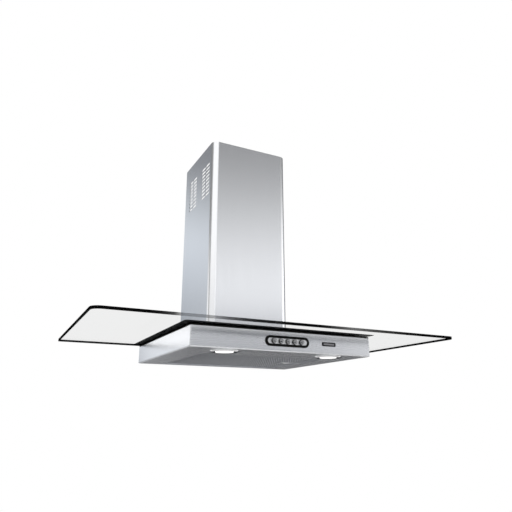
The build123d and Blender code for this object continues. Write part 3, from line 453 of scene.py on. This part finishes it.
steel_tone = (0.70, 0.713, 0.74)
fold_highlight_tone = (0.92, 0.93, 0.95)
chimney_steel = brushed_steel(
    "chimney_steel",
    steel_tone,
    roughness=0.22,
    stretch=(1500, 1500, 5),
    spread=0.02,
    depth=0.003,
    streak=0.008,
)
canopy_steel = brushed_steel(
    "canopy_steel",
    steel_tone,
    roughness=0.27,
    stretch=(5, 1100, 1500),
    spread=0.01,
    depth=0.001,
    streak=0.002,
    grain=0.06,
)
# Painted highlights: the rounded folds of the chimney and the canopy get a lighter colour,
# standing in for the light they catch
paint_fold_highlights(chimney_steel, fold_highlight_tone, axes="XY")
paint_fold_highlights(canopy_steel, fold_highlight_tone, axes="YZ")
plate_steel = brushed_steel(
    "plate_steel", (0.72, 0.727, 0.74), roughness=0.32, stretch=(6, 1500, 1500), depth=0.02
)
filter_metal = brushed_steel("filter_metal", (0.36, 0.37, 0.40), roughness=0.36, stretch=400)
# Latch: pale, partly matt metal, a painted highlight standing in for the light the latch catches
latch_metal_highlight = brushed_steel(
    "latch_metal_highlight", (0.85, 0.85, 0.86), roughness=0.3, stretch=400, metallic=0.3
)
bare_steel = brushed_steel("bare_steel", (0.50, 0.50, 0.51), roughness=0.25, stretch=900)
lamp_can_metal = brushed_steel(
    "lamp_can_metal", (0.45, 0.45, 0.46), roughness=0.35, stretch=(8, 8, 1200)
)
pack_metal = brushed_steel(
    "pack_metal", (0.06, 0.06, 0.062), roughness=0.5, stretch=300, spread=0.5
)
net_metal = brushed_steel("net_metal", (0.76, 0.775, 0.82), roughness=0.3, stretch=400)
add_glints(net_metal, NET_GLINT_SIZE, NET_GLINT_TURN, NET_GLINT_DARK, NET_GLINT_SPREAD)
zinc_sheet = galvanised_sheet("zinc_sheet", dark=(0.44, 0.45, 0.46), light=(0.58, 0.59, 0.60))
bright_chrome = chrome_plate("bright_chrome", (0.82, 0.82, 0.83), roughness=0.06)
# Buttons: satin metal faces, with painted shade on their sides for their dark edges
button_satin_shaded = shaded_side_button(
    "button_satin_shaded", (0.27, 0.273, 0.28), side_shade=0.006, roughness=0.18
)
hood_glass = clear_glass("hood_glass", tint=(0.872, 0.874, 0.873))
# Painted reflection: the glass edge is dark as reflections inside glass make it, and partly clear
# along its length where the real edge looks lighter
edge_reflection_dark = uneven_black("edge_reflection_dark", tone=0.003, roughness=0.6, gloss=0.0)
let_light_through(edge_reflection_dark, glass_high.x, EDGE_CLEAR_BEFORE, EDGE_CLEARNESS)
ink_black = uneven_black("ink_black", tone=0.004, roughness=0.5, gloss=0.02)
# Black of the bezel, also used for the painted shade in the gaps round the plate and the buttons
bezel_black_and_gap_shade = moulded_plastic(
    "bezel_black_and_gap_shade", (0.004, 0.004, 0.004), roughness=0.35, depth=0.02, gloss=0.06
)
badge_dark = moulded_plastic(
    "badge_dark", (0.012, 0.012, 0.014), roughness=0.4, depth=0.03, gloss=0.1
)
badge_grey = moulded_plastic(
    "badge_grey", (0.22, 0.22, 0.235), roughness=0.4, depth=0.03, gloss=0.2
)
foam_black = moulded_plastic(
    "foam_black", (0.012, 0.012, 0.012), roughness=0.95, grain=1500.0, depth=0.5, gloss=0.08
)
dark_plastic = moulded_plastic("dark_plastic", (0.03, 0.03, 0.033), roughness=0.5)
fan_plastic = moulded_plastic("fan_plastic", (0.06, 0.06, 0.065), roughness=0.45)
pale_plastic = moulded_plastic("pale_plastic", (0.62, 0.62, 0.60), roughness=0.5)
capacitor_white = moulded_plastic("capacitor_white", (0.75, 0.75, 0.73), roughness=0.3)
motor_paint = moulded_plastic(
    "motor_paint", (0.05, 0.05, 0.055), roughness=0.4, grain=900.0, depth=0.15
)
lamp_glow = lit_lens("lamp_glow")

finishes = {
    chimney_steel: ["chimney_cover"],
    canopy_steel: ["canopy_shell"],
    hood_glass: ["glass_panel"],
    foam_black: ["glass_gasket"],
    bezel_black_and_gap_shade: ["control_bezel"],
    plate_steel: ["control_plate"],
    bright_chrome: ["lamp_ring_left", "lamp_ring_right"],
    button_satin_shaded: BUTTONS,
    lamp_glow: ["lamp_lens_left", "lamp_lens_right"],
    filter_metal: ["filter_frame", "filter_mesh"],
    latch_metal_highlight: ["filter_latch"],
    pack_metal: ["filter_pack"],
    zinc_sheet: [
        "canopy_top",
        "wall_plate",
        "blower_chassis",
        "motor_bracket",
        "glass_clamp_left",
        "glass_clamp_right",
        "glass_clamp_front",
        "chimney_bracket",
    ],
    dark_plastic: ["scroll_left", "scroll_right", "outlet_collar", "cable_gland", "switch_block"],
    fan_plastic: ["fan_impeller", "fan_blades", "fan_rim_left", "fan_rim_right"],
    bare_steel: ["fan_shaft", "damper_pin", "collar_screws", "clamp_screws"],
    motor_paint: ["fan_motor"],
    pale_plastic: ["damper_flap_front", "damper_flap_rear", "terminal_box", "lamp_driver"],
    capacitor_white: ["capacitor"],
    lamp_can_metal: ["lamp_can_left", "lamp_can_right"],
}
for finish, names in finishes.items():
    for node_name in names:
        node_mesh = nodes[node_name].data
        node_mesh.materials.clear()
        node_mesh.materials.append(finish)


# Smooth bends on the solids


def smooth_bends_tree():
    """Build the node tree that joins a solid's facets and smooths all but its sharp edges."""
    tree, given, result = geometry_tree("smooth_bends")
    make = partial(first_output, tree)
    joined = make(
        "GeometryNodeMergeByDistance", {"Geometry": given["Geometry"], "Distance": FACET_JOIN}
    )
    smooth = make("GeometryNodeSetShadeSmooth", {"Geometry": joined}, domain="FACE")
    angle = add_node(tree, "GeometryNodeInputMeshEdgeAngle").outputs["Unsigned Angle"]
    sharp = make("FunctionNodeCompare", {"A": angle, "B": SHARP_ANGLE}, operation="GREATER_THAN")
    inputs = {"Geometry": smooth, "Selection": sharp, "Shade Smooth": False}
    feed(tree, result, make("GeometryNodeSetShadeSmooth", inputs, domain="EDGE"))
    return tree


bends = smooth_bends_tree()
for node in nodes.values():
    node.modifiers.new("smooth_bends", "NODES").node_group = bends
    weighted = node.modifiers.new("flat_faces", "WEIGHTED_NORMAL")
    weighted.keep_sharp = True


# Making pieces


def finished_piece(name, mesh, material, body, smooth=False):
    """Place a mesh as a piece that rides on a body and takes the given material."""
    for polygon in mesh.polygons:
        polygon.use_smooth = smooth
    mesh.materials.clear()
    mesh.materials.append(material)
    piece = bpy.data.objects.new(name, mesh)
    scene.collection.objects.link(piece)
    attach(piece, body)
    return piece


def hood_piece(name, build, material, slot, *inputs, smooth=False):
    """Make a piece on the hood from a function that fills a bmesh, closed and facing outwards."""
    shape = bmesh.new()
    build(shape, *inputs)
    bmesh.ops.remove_doubles(shape, verts=shape.verts, dist=WELD)
    bmesh.ops.recalc_face_normals(shape, faces=shape.faces)
    mesh = bpy.data.meshes.new(name)
    shape.to_mesh(mesh)
    shape.free()
    finished_piece(name, mesh, material, "hood", smooth)


def mesh_from_nodes(name, tree, values):
    """Run a node tree with named inputs and return its result as a plain mesh."""
    carrier = bpy.data.objects.new(name, bpy.data.meshes.new(name + "_seed"))
    scene.collection.objects.link(carrier)
    modifier = carrier.modifiers.new(name, "NODES")
    modifier.node_group = tree
    for item in tree.interface.items_tree:
        if item.in_out == "INPUT" and item.name in values:
            modifier[item.identifier] = values[item.name]
    evaluated = carrier.evaluated_get(bpy.context.evaluated_depsgraph_get())
    mesh = bpy.data.meshes.new_from_object(evaluated)
    mesh.name = name
    bpy.data.objects.remove(carrier)
    return mesh


def middle(name):
    """Return the middle of a solid's box."""
    low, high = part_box(name)
    return (low + high) / 2


def rounded_outline(low, high, radii, steps=CORNER_STEPS):
    """Points anticlockwise round a rectangle from its low corner, with a radius at each corner."""
    corners = (
        (low.x, low.y, 1, 1, 180),
        (high.x, low.y, -1, 1, 270),
        (high.x, high.y, -1, -1, 0),
        (low.x, high.y, 1, -1, 90),
    )
    points = []
    for (x, y, inwards_x, inwards_y, start), radius in zip(corners, radii):
        if radius <= 0:
            points.append(Vector((x, y)))
            continue
        centre = Vector((x + inwards_x * radius, y + inwards_y * radius))
        for step in range(steps + 1):
            angle = math.radians(start + 90 * step / steps)
            points.append(centre + radius * Vector((math.cos(angle), math.sin(angle))))
    return points


def skin(shape, rows):
    """Add faces between each row of points and the next, where every row is a loop."""
    count = len(rows[0])
    for row, following in zip(rows, rows[1:]):
        for i in range(count):
            j = (i + 1) % count
            shape.faces.new((row[i], row[j], following[j], following[i]))


def ring_wall(shape, outer, inner, z_low, z_high):
    """Add a closed band between two outlines with the same number of points."""
    rows = []
    for outline, z in ((outer, z_low), (outer, z_high), (inner, z_high), (inner, z_low)):
        rows.append([shape.verts.new((p.x, p.y, z)) for p in outline])
    skin(shape, rows + rows[:1])


def thick_face(shape, points, lift):
    """Add a flat plate: a face through the points, and the same face lifted."""
    face = shape.faces.new([shape.verts.new(point) for point in points])
    lifted = bmesh.ops.extrude_face_region(shape, geom=[face])
    for vert in (v for v in lifted["geom"] if isinstance(v, bmesh.types.BMVert)):
        vert.co += lift


# Glass: dark band on the polished edge, sunk into the outer faces and painted dark for the
# reflections inside the glass, and black print over the canopy


def glass_edge(shape):
    """Fill a bmesh with the band round the glass, painted dark for the reflections inside its
    edge.
    """
    corner = (GLASS_FRONT_CORNER, GLASS_FRONT_CORNER, GLASS_REAR_CORNER, GLASS_REAR_CORNER)
    proud = Vector((EDGE_PROUD, EDGE_PROUD))
    sunk = Vector((EDGE_DEPTH, EDGE_DEPTH))
    low, high = glass_low.xy, glass_high.xy
    inner = rounded_outline(low + sunk, high - sunk, [r - EDGE_DEPTH for r in corner])
    outer = rounded_outline(low - proud, high + proud, [r + EDGE_PROUD for r in corner])
    ring_wall(shape, outer, inner, glass_low.z + EDGE_ARRIS, glass_high.z - EDGE_ARRIS)


def glass_print(shape):
    """Fill a bmesh with the printed field, notched round the chimney cover."""
    outer_low = Vector((-PRINT_HALF_WIDTH, canopy_low.y - PRINT_FRONT))
    outer_high = Vector((PRINT_HALF_WIDTH, glass_high.y - PRINT_REAR_GAP))
    hole_low = cover_low.xy - Vector((PRINT_CLEARANCE, PRINT_CLEARANCE))
    hole_x = cover_high.x + PRINT_CLEARANCE
    outline = rounded_outline(outer_low, outer_high, (PRINT_CORNER, PRINT_CORNER, 0, 0))
    hole = [
        Vector((hole_x, outer_high.y)),
        Vector((hole_x, hole_low.y)),
        Vector((hole_low.x, hole_low.y)),
        Vector((hole_low.x, outer_high.y)),
    ]
    left = [p for p in outline if p.x < 0]
    right = [p for p in outline if p.x > 0]
    points = right + hole + left[-1:] + left[:-1]
    z_low = glass_high.z + PRINT_LIFT
    thick_face(shape, [(p.x, p.y, z_low) for p in points], Vector((0, 0, PRINT_THICKNESS)))


hood_piece("glass_edge", glass_edge, edge_reflection_dark, "clear_glass")
hood_piece("glass_print", glass_print, ink_black, "black_gloss")


# Bare plate to the right of the buttons, with rounded corners and a soft edge

badge_z = (panel_low.z + panel_high.z) / 2
badge_front = canopy_low.y - BADGE_THICKNESS


def badge_outline(width, height, inset=0.0):
    """Points round a badge of a given size, all set in from its outline."""
    half = Vector((width / 2, height / 2))
    margin = Vector((inset, inset))
    radii = [height * BADGE_CORNER_SHARE - inset] * 4
    return rounded_outline(-half + margin, half - margin, radii, BADGE_CORNER_STEPS)


def on_badge(points, y):
    """Stand flat points upright at the badge's place."""
    return [(BADGE_CENTRE_X + p.x, y, badge_z + p.y) for p in points]


def badge_plate(shape):
    """Fill a bmesh with the plate."""
    outline = badge_outline(BADGE_WIDTH, BADGE_HEIGHT)
    inset = badge_outline(BADGE_WIDTH, BADGE_HEIGHT, BADGE_BEVEL)
    rows = []
    for points, y in (
        (outline, canopy_low.y),
        (outline, badge_front + BADGE_BEVEL_DEPTH),
        (inset, badge_front),
    ):
        rows.append([shape.verts.new(point) for point in on_badge(points, y)])
    skin(shape, rows)
    shape.faces.new(rows[-1])
    shape.faces.new(list(reversed(rows[0])))


def badge_field(shape):
    """Fill a bmesh with a plain field on the plate, left bare."""
    outline = badge_outline(BADGE_FIELD_WIDTH, BADGE_FIELD_HEIGHT)
    thick_face(shape, on_badge(outline, badge_front), Vector((0, -BADGE_FIELD_PROUD, 0)))


hood_piece("badge_plate", badge_plate, badge_dark, "black_gloss")
hood_piece("badge_field", badge_field, badge_grey, "black_gloss")


# Painted shade: a dark band in the gap between the control plate and its frame, and a dark ring
# round each button for the gap round it


def plate_gap_shade(shape):
    """Fill a bmesh with a band along the plate's outline, on its front face: painted shade for the
    gap.
    """
    low = Vector((plate_low.x, plate_low.z))
    high = Vector((plate_high.x, plate_high.z))
    inset = Vector((GAP_SHADE_WIDTH, GAP_SHADE_WIDTH))
    radius = (high.y - low.y) / 2 - GAP_SHADE_END_GAP
    outer = rounded_outline(low, high, [radius] * 4)
    inner = rounded_outline(low + inset, high - inset, [radius - GAP_SHADE_WIDTH] * 4)
    ring_wall(shape, outer, inner, -plate_low.y, GAP_SHADE_THICKNESS - plate_low.y)
    for vert in shape.verts:
        vert.co = Vector((vert.co.x, -vert.co.z, vert.co.y))


hood_piece("plate_gap_shade", plate_gap_shade, bezel_black_and_gap_shade, "black_gloss")

RING_INPUTS = (
    ("Count", "NodeSocketInt"),
    ("First", "NodeSocketVector"),
    ("Step", "NodeSocketVector"),
    ("Radius", "NodeSocketFloat"),
    ("Width", "NodeSocketFloat"),
    ("Thickness", "NodeSocketFloat"),
    ("Finish", "NodeSocketMaterial"),
)


def ring_row_tree():
    """Build the node tree for a row of flat rings that face the front."""
    tree, given, result = geometry_tree("ring_row", RING_INPUTS)
    make = partial(first_output, tree)
    circle = make(
        "GeometryNodeCurvePrimitiveCircle",
        {"Resolution": BUTTON_RING_SEGMENTS, "Radius": given["Radius"]},
    )
    section = make(
        "GeometryNodeCurvePrimitiveQuadrilateral",
        {"Width": given["Width"], "Height": given["Thickness"]},
    )
    ring = make("GeometryNodeCurveToMesh", {"Curve": circle, "Profile Curve": section})
    upright = make("GeometryNodeTransform", {"Geometry": ring, "Rotation": (math.pi / 2, 0, 0)})
    row = make(
        "GeometryNodeMeshLine",
        {"Count": given["Count"], "Start Location": given["First"], "Offset": given["Step"]},
    )
    rings = make("GeometryNodeInstanceOnPoints", {"Points": row, "Instance": upright})
    whole = make("GeometryNodeRealizeInstances", {"Geometry": rings})
    inputs = {"Geometry": whole, "Material": given["Finish"]}
    feed(tree, result, make("GeometryNodeSetMaterial", inputs))
    return tree


first_button = middle(BUTTONS[0])
last_button = middle(BUTTONS[-1])
ring_y = plate_low.y - BUTTON_RING_THICKNESS / 2
ring_values = {
    "Count": len(BUTTONS),
    "First": (first_button.x, ring_y, first_button.z),
    "Step": ((last_button.x - first_button.x) / (len(BUTTONS) - 1), 0.0, 0.0),
    "Radius": (BUTTON_RING_INNER + BUTTON_RING_OUTER) / 2,
    "Width": BUTTON_RING_OUTER - BUTTON_RING_INNER,
    "Thickness": BUTTON_RING_THICKNESS,
    "Finish": bezel_black_and_gap_shade,
}
# Dark rings round the buttons: painted shade for the gaps round them
button_shade_rings = mesh_from_nodes("button_shade_rings", ring_row_tree(), ring_values)
finished_piece("button_shade_rings", button_shade_rings, bezel_black_and_gap_shade, "hood")


# Crowned chrome trim on the lamp rims


def trim_profile():
    """Return (radius, drop) points of the trim, from its outer edge over the crown to the lens."""
    falls = [(TRIM_OUTER, 1 - step / TRIM_STEPS) for step in range(TRIM_STEPS)]
    falls += [(TRIM_INNER, step / TRIM_STEPS) for step in range(TRIM_STEPS + 1)]
    crown_radius, crown_drop = TRIM_CROWN
    points = []
    for (radius, drop), share in falls:
        across = crown_radius + (radius - crown_radius) * share
        down = crown_drop + (drop - crown_drop) * share**2
        points.append((across, down))
    return points + [(TRIM_INNER[0], TRIM_BACK), (TRIM_OUTER[0], TRIM_BACK)]


def lamp_trim(shape, centre):
    """Fill a bmesh with one trim, turned about the lamp's axis."""
    rows = []
    for segment in range(TRIM_SEGMENTS):
        angle = 2 * math.pi * segment / TRIM_SEGMENTS
        row = []
        for radius, drop in trim_profile():
            x = centre.x + radius * MM * math.cos(angle)
            y = centre.y + radius * MM * math.sin(angle)
            row.append(shape.verts.new((x, y, canopy_low.z - drop * MM)))
        rows.append(row)
    skin(shape, rows + rows[:1])


for side in ("left", "right"):
    lens_middle = middle(f"lamp_lens_{side}")
    hood_piece(f"lamp_trim_{side}", lamp_trim, bright_chrome, "chrome", lens_middle, smooth=True)


# Expanded metal net in the filter frame, in place of the coarse sheet

NET_INPUTS = (
    ("Width", "NodeSocketFloat"),
    ("Depth", "NodeSocketFloat"),
    ("Turns", "NodeSocketInt"),
    ("Strands", "NodeSocketInt"),
    ("Swing", "NodeSocketFloat"),
    ("Strand", "NodeSocketFloat"),
    ("Thickness", "NodeSocketFloat"),
    ("Tilt", "NodeSocketFloat"),
    ("Latch X", "NodeSocketFloat"),
    ("Latch Half", "NodeSocketFloat"),
    ("Place", "NodeSocketVector"),
    ("Finish", "NodeSocketMaterial"),
)


def net_tree():
    """Build the node tree for zig-zag strands that meet their neighbours at every turn."""
    tree, given, result = geometry_tree("expanded_net", NET_INPUTS)
    make = partial(first_output, tree)
    maths = partial(calc, tree)

    # A grid with a row of points for each strand, moved up and down in turn
    grid = make(
        "GeometryNodeMeshGrid",
        {
            "Size X": given["Width"],
            "Size Y": given["Depth"],
            "Vertices X": given["Turns"],
            "Vertices Y": given["Strands"],
        },
    )
    index = make("GeometryNodeInputIndex")
    column = maths("FLOOR", maths("DIVIDE", maths("ADD", index, 0.5), given["Strands"]))
    row = maths("FLOORED_MODULO", index, given["Strands"])
    phase = maths("FLOORED_MODULO", maths("ADD", column, row), 2.0)
    swing = maths("MULTIPLY", maths("SUBTRACT", phase, 0.5), given["Swing"])
    shift = make("ShaderNodeCombineXYZ", {"Y": swing})
    zigzag = make("GeometryNodeSetPosition", {"Geometry": grid, "Offset": shift})

    # Only the edges along the strands stay
    ends = add_node(tree, "GeometryNodeInputMeshEdgeVertices").outputs
    first_row = maths("FLOORED_MODULO", ends["Vertex Index 1"], given["Strands"])
    second_row = maths("FLOORED_MODULO", ends["Vertex Index 2"], given["Strands"])
    inputs = {"A": first_row, "B": second_row, "Epsilon": 0.1}
    across = make("FunctionNodeCompare", inputs, operation="NOT_EQUAL")
    inputs = {"Geometry": zigzag, "Selection": across}
    lines = make("GeometryNodeDeleteGeometry", inputs, domain="EDGE", mode="EDGE_FACE")

    # Room round the latch
    position = make("GeometryNodeInputPosition")
    spot = add_node(tree, "ShaderNodeSeparateXYZ", {"Vector": position}).outputs
    inputs = {"A": spot["X"], "B": given["Latch X"]}
    right = make("FunctionNodeCompare", inputs, operation="GREATER_THAN")
    inputs = {"A": maths("ABSOLUTE", spot["Y"]), "B": given["Latch Half"]}
    near = make("FunctionNodeCompare", inputs, operation="LESS_THAN")
    both = make("FunctionNodeBooleanMath", {0: right, 1: near}, operation="AND")
    inputs = {"Geometry": lines, "Selection": both}
    kept = make("GeometryNodeDeleteGeometry", inputs, domain="POINT")

    # Flat bars along the lines, tilted
    curves = make("GeometryNodeMeshToCurve", {"Mesh": kept})
    level = make("GeometryNodeSetCurveNormal", {"Curve": curves}, mode="Z_UP")
    tilted = make("GeometryNodeSetCurveTilt", {"Curve": level, "Tilt": given["Tilt"]})
    section = make(
        "GeometryNodeCurvePrimitiveQuadrilateral",
        {"Width": given["Strand"], "Height": given["Thickness"]},
    )
    inputs = {"Curve": tilted, "Profile Curve": section, "Fill Caps": True}
    bars = make("GeometryNodeCurveToMesh", inputs)
    whole = make("GeometryNodeRealizeInstances", {"Geometry": bars})
    placed = make("GeometryNodeTransform", {"Geometry": whole, "Translation": given["Place"]})
    inputs = {"Geometry": placed, "Material": given["Finish"]}
    feed(tree, result, make("GeometryNodeSetMaterial", inputs))
    return tree


sheet_span = sheet_high - sheet_low
net_turns = int(sheet_span.x / NET_PITCH_X) * 2 + 1
net_strands = int(sheet_span.y / NET_PITCH_Y) + 1
net_values = {
    "Width": (net_turns - 1) * NET_PITCH_X / 2,
    "Depth": (net_strands - 1) * NET_PITCH_Y,
    "Turns": net_turns,
    "Strands": net_strands,
    "Swing": NET_PITCH_Y - NET_STRAND * NET_OVERLAP_SHARE,
    "Strand": NET_STRAND,
    "Thickness": NET_SHEET,
    "Tilt": NET_TILT,
    "Latch X": NET_LATCH_X,
    "Latch Half": NET_LATCH_HALF,
    "Place": tuple(middle("filter_mesh")),
    "Finish": net_metal,
}
net_mesh = mesh_from_nodes("filter_net", net_tree(), net_values)
filter_net = finished_piece("filter_net", net_mesh, net_metal, "filter")
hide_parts("filter_mesh")


# Stage: pale floor that fades out, white surroundings, soft light

FLOOR_DROP = 0.9
FLOOR_RADIUS = 2.4
FLOOR_SEGMENTS = 64
PLAIN_LEVEL = 0.8

# What metal mirrors, by elevation: (degrees, tone)
FRONT_TONES = (
    (-90, 0.26),
    (-32, 0.26),
    (-24, 1.1),
    (-8, 1.1),
    (-2, (0.05, 0.06, 0.09)),
    (8.6, (0.05, 0.06, 0.09)),
    (10.2, 1.75),
    (11.7, 1.75),
    (14.5, 1.30),
    (17.8, 1.12),
    (21.2, 0.86),
    (24.5, 0.58),
    (29, 0.33),
    (45, 0.30),
    (90, 0.5),
)
FRONT_RIGHT_TONES = (
    (-90, 0.26),
    (-9, 0.26),
    (0, 0.90),
    (8, 0.95),
    (11.7, 1.50),
    (14.5, 1.30),
    (17.8, 1.12),
    (21.2, 0.86),
    (24.5, 0.56),
    (29, 0.29),
    (45, 0.26),
    (90, 0.5),
)
REAR_LEFT_TONES = (
    (-90, 0.10),
    (-31, 0.10),
    (-28, 1.15),
    (-19, 1.15),
    (-17, (0.44, 0.45, 0.47)),
    (-4, (0.44, 0.45, 0.47)),
    (3, (0.40, 0.42, 0.45)),
    (8, (0.38, 0.41, 0.45)),
    (12.2, (0.61, 0.65, 0.70)),
    (15.6, (0.77, 0.82, 0.88)),
    (18.9, (0.92, 0.97, 1.03)),
    (21.7, (0.76, 0.80, 0.84)),
    (27, (0.31, 0.32, 0.34)),
    (45, (0.28, 0.28, 0.30)),
    (90, (0.50, 0.50, 0.51)),
)
LEFT_CORNER_TONES = (
    (-90, 0.22),
    (-4, 0.25),
    (3, 0.94),
    (15, 0.94),
    (20, 0.2),
    (45, 0.2),
    (90, 0.5),
)
DIM_TONES = ((-90, 0.22), (0, 0.34), (30, 0.34), (60, 0.27), (90, 0.5))
LEFT_WALL_TONES = (
    (-90, 0.26),
    (-20, 0.3),
    (-10, 0.8),
    (11, 0.8),
    (17, 1.1),
    (31, 1.1),
    (37, 0.8),
    (90, 0.5),
)
RIGHT_WALL_TONES = (
    (-90, 0.26),
    (-10, 0.3),
    (0, 1.3),
    (18, 1.3),
    (22, 0.8),
    (27, 0.2),
    (45, 0.2),
    (90, 0.5),
)
DARK_TONES = (
    (-90, 0.10),
    (-31, 0.10),
    (-28, 1.15),
    (-19, 1.15),
    (-17, 0.015),
    (2, (0.012, 0.013, 0.022)),
    (12, (0.11, 0.115, 0.14)),
    (35, 0.20),
    (90, 0.5),
)

# Where each takes the place of those before it, by bearing: (degrees right of the front, share)
STUDIO_ZONES = (
    (FRONT_RIGHT_TONES, ((-180, 0.0), (31, 0.0), (43, 1.0), (60, 1.0))),
    (REAR_LEFT_TONES, ((-180, 1.0), (-155, 1.0), (-148, 0.0), (150, 0.0), (156, 1.0))),
    (LEFT_CORNER_TONES, ((-155, 0.0), (-148, 1.0), (-113, 1.0), (-107, 0.0))),
    (DIM_TONES, ((-113, 0.0), (-107, 1.0), (-92, 1.0), (-84, 0.0))),
    (LEFT_WALL_TONES, ((-92, 0.0), (-84, 1.0), (2, 1.0), (10, 0.0))),
    (RIGHT_WALL_TONES, ((37, 0.0), (46, 1.0), (86, 1.0), (94, 0.0))),
    (DARK_TONES, ((86, 0.0), (94, 1.0), (160, 1.0), (176, 0.0))),
)


def pale_floor():
    """Make a round pale floor below the hood, clear towards its rim."""
    shape = bmesh.new()
    bmesh.ops.create_circle(shape, cap_ends=True, segments=FLOOR_SEGMENTS, radius=FLOOR_RADIUS)
    mesh = bpy.data.meshes.new("floor")
    shape.to_mesh(mesh)
    shape.free()
    floor = bpy.data.objects.new("floor", mesh)
    floor.location = (0, canopy_low.y / 2, canopy_low.z - FLOOR_DROP)
    scene.collection.objects.link(floor)
    material, tree = new_material("floor_pale")
    paint(material, {"Base Color": (0.82, 0.82, 0.82), "Roughness": 0.9})
    place = add_node(tree, "ShaderNodeTexCoord").outputs["Object"]
    reach = add_node(tree, "ShaderNodeVectorMath", {0: place}, operation="LENGTH")
    share = calc(tree, "DIVIDE", reach.outputs["Value"], FLOOR_RADIUS)
    show_through(tree, ramp(tree, share, (0.35, 0.0), (0.95, 1.0)))
    mesh.materials.append(material)


def studio_world():
    """White for the camera and through glass, a plain level for matt surfaces, and for metal a
    studio with pale walls to the left and right, a bright horizon and a dimmer ceiling."""
    world = bpy.data.worlds.new("studio")
    world.use_nodes = True
    tree = world.node_tree
    tree.nodes.clear()
    maths = partial(calc, tree)
    place = coordinates(tree, "Generated")
    height = maths("ADD", maths("DIVIDE", maths("ARCSINE", place["Z"]), math.pi), 0.5)
    bearing = maths("ARCTAN2", place["X"], maths("MULTIPLY", place["Y"], -1.0))
    turn = maths("ADD", maths("DIVIDE", bearing, 2 * math.pi), 0.5)

    def by_height(stops):
        return ramp(tree, height, *((el / 180 + 0.5, tone) for el, tone in stops))

    def by_turn(stops):
        return ramp(tree, turn, *((az / 360 + 0.5, share) for az, share in stops))

    tones = by_height(FRONT_TONES)
    for zone_tones, zone_shares in STUDIO_ZONES:
        tones = blend(tree, by_turn(zone_shares), tones, by_height(zone_tones))
    rays = add_node(tree, "ShaderNodeLightPath").outputs
    seen = maths("MAXIMUM", rays["Is Camera Ray"], rays["Is Transmission Ray"])
    plain = (PLAIN_LEVEL, PLAIN_LEVEL, PLAIN_LEVEL)
    shown = blend(tree, rays["Is Glossy Ray"], plain, tones)
    shown = blend(tree, seen, shown, (1.0, 1.0, 1.0))
    light = first_output(tree, "ShaderNodeBackground", {"Color": shown})
    add_node(tree, "ShaderNodeOutputWorld", {"Surface": light})
    scene.world = world


def softbox(name, place, target, width, height, radiance, through_glass=False):
    """Hang a rectangular light that faces a target, with a given radiance."""
    data = bpy.data.lights.new(name, "AREA")
    data.shape = "RECTANGLE"
    data.size = width
    data.size_y = height
    data.energy = radiance * math.pi * width * height
    lamp = bpy.data.objects.new(name, data)
    lamp.location = place
    lamp.rotation_euler = (Vector(target) - Vector(place)).to_track_quat("-Z", "Y").to_euler()
    lamp.visible_camera = False
    lamp.visible_transmission = through_glass
    scene.collection.objects.link(lamp)


def photo_camera():
    """Stand the camera where the photograph was taken from."""
    data = bpy.data.cameras.new("photo_camera")
    data.lens = CAMERA_LENS_MM
    data.sensor_width = SENSOR_MM
    camera = bpy.data.objects.new("photo_camera", data)
    look = Vector(
        (
            math.sin(CAMERA_YAW) * math.cos(CAMERA_PITCH),
            math.cos(CAMERA_YAW) * math.cos(CAMERA_PITCH),
            math.sin(CAMERA_PITCH),
        )
    )
    camera.location = CAMERA_PLACE
    camera.rotation_euler = look.to_track_quat("-Z", "Y").to_euler()
    scene.collection.objects.link(camera)
    scene.camera = camera


pale_floor()
studio_world()
softbox(
    "top_softbox",
    place=(-0.8, -1.2, 2.6),
    target=(0, -0.2, 0),
    width=2.4,
    height=2.4,
    radiance=0.5,
)
softbox(
    "left_softbox",
    place=(-0.58, 0.547, -0.22),
    target=(-0.234, -0.40, -0.33),
    width=0.34,
    height=0.20,
    radiance=0.84,
    through_glass=True,
)
photo_camera()
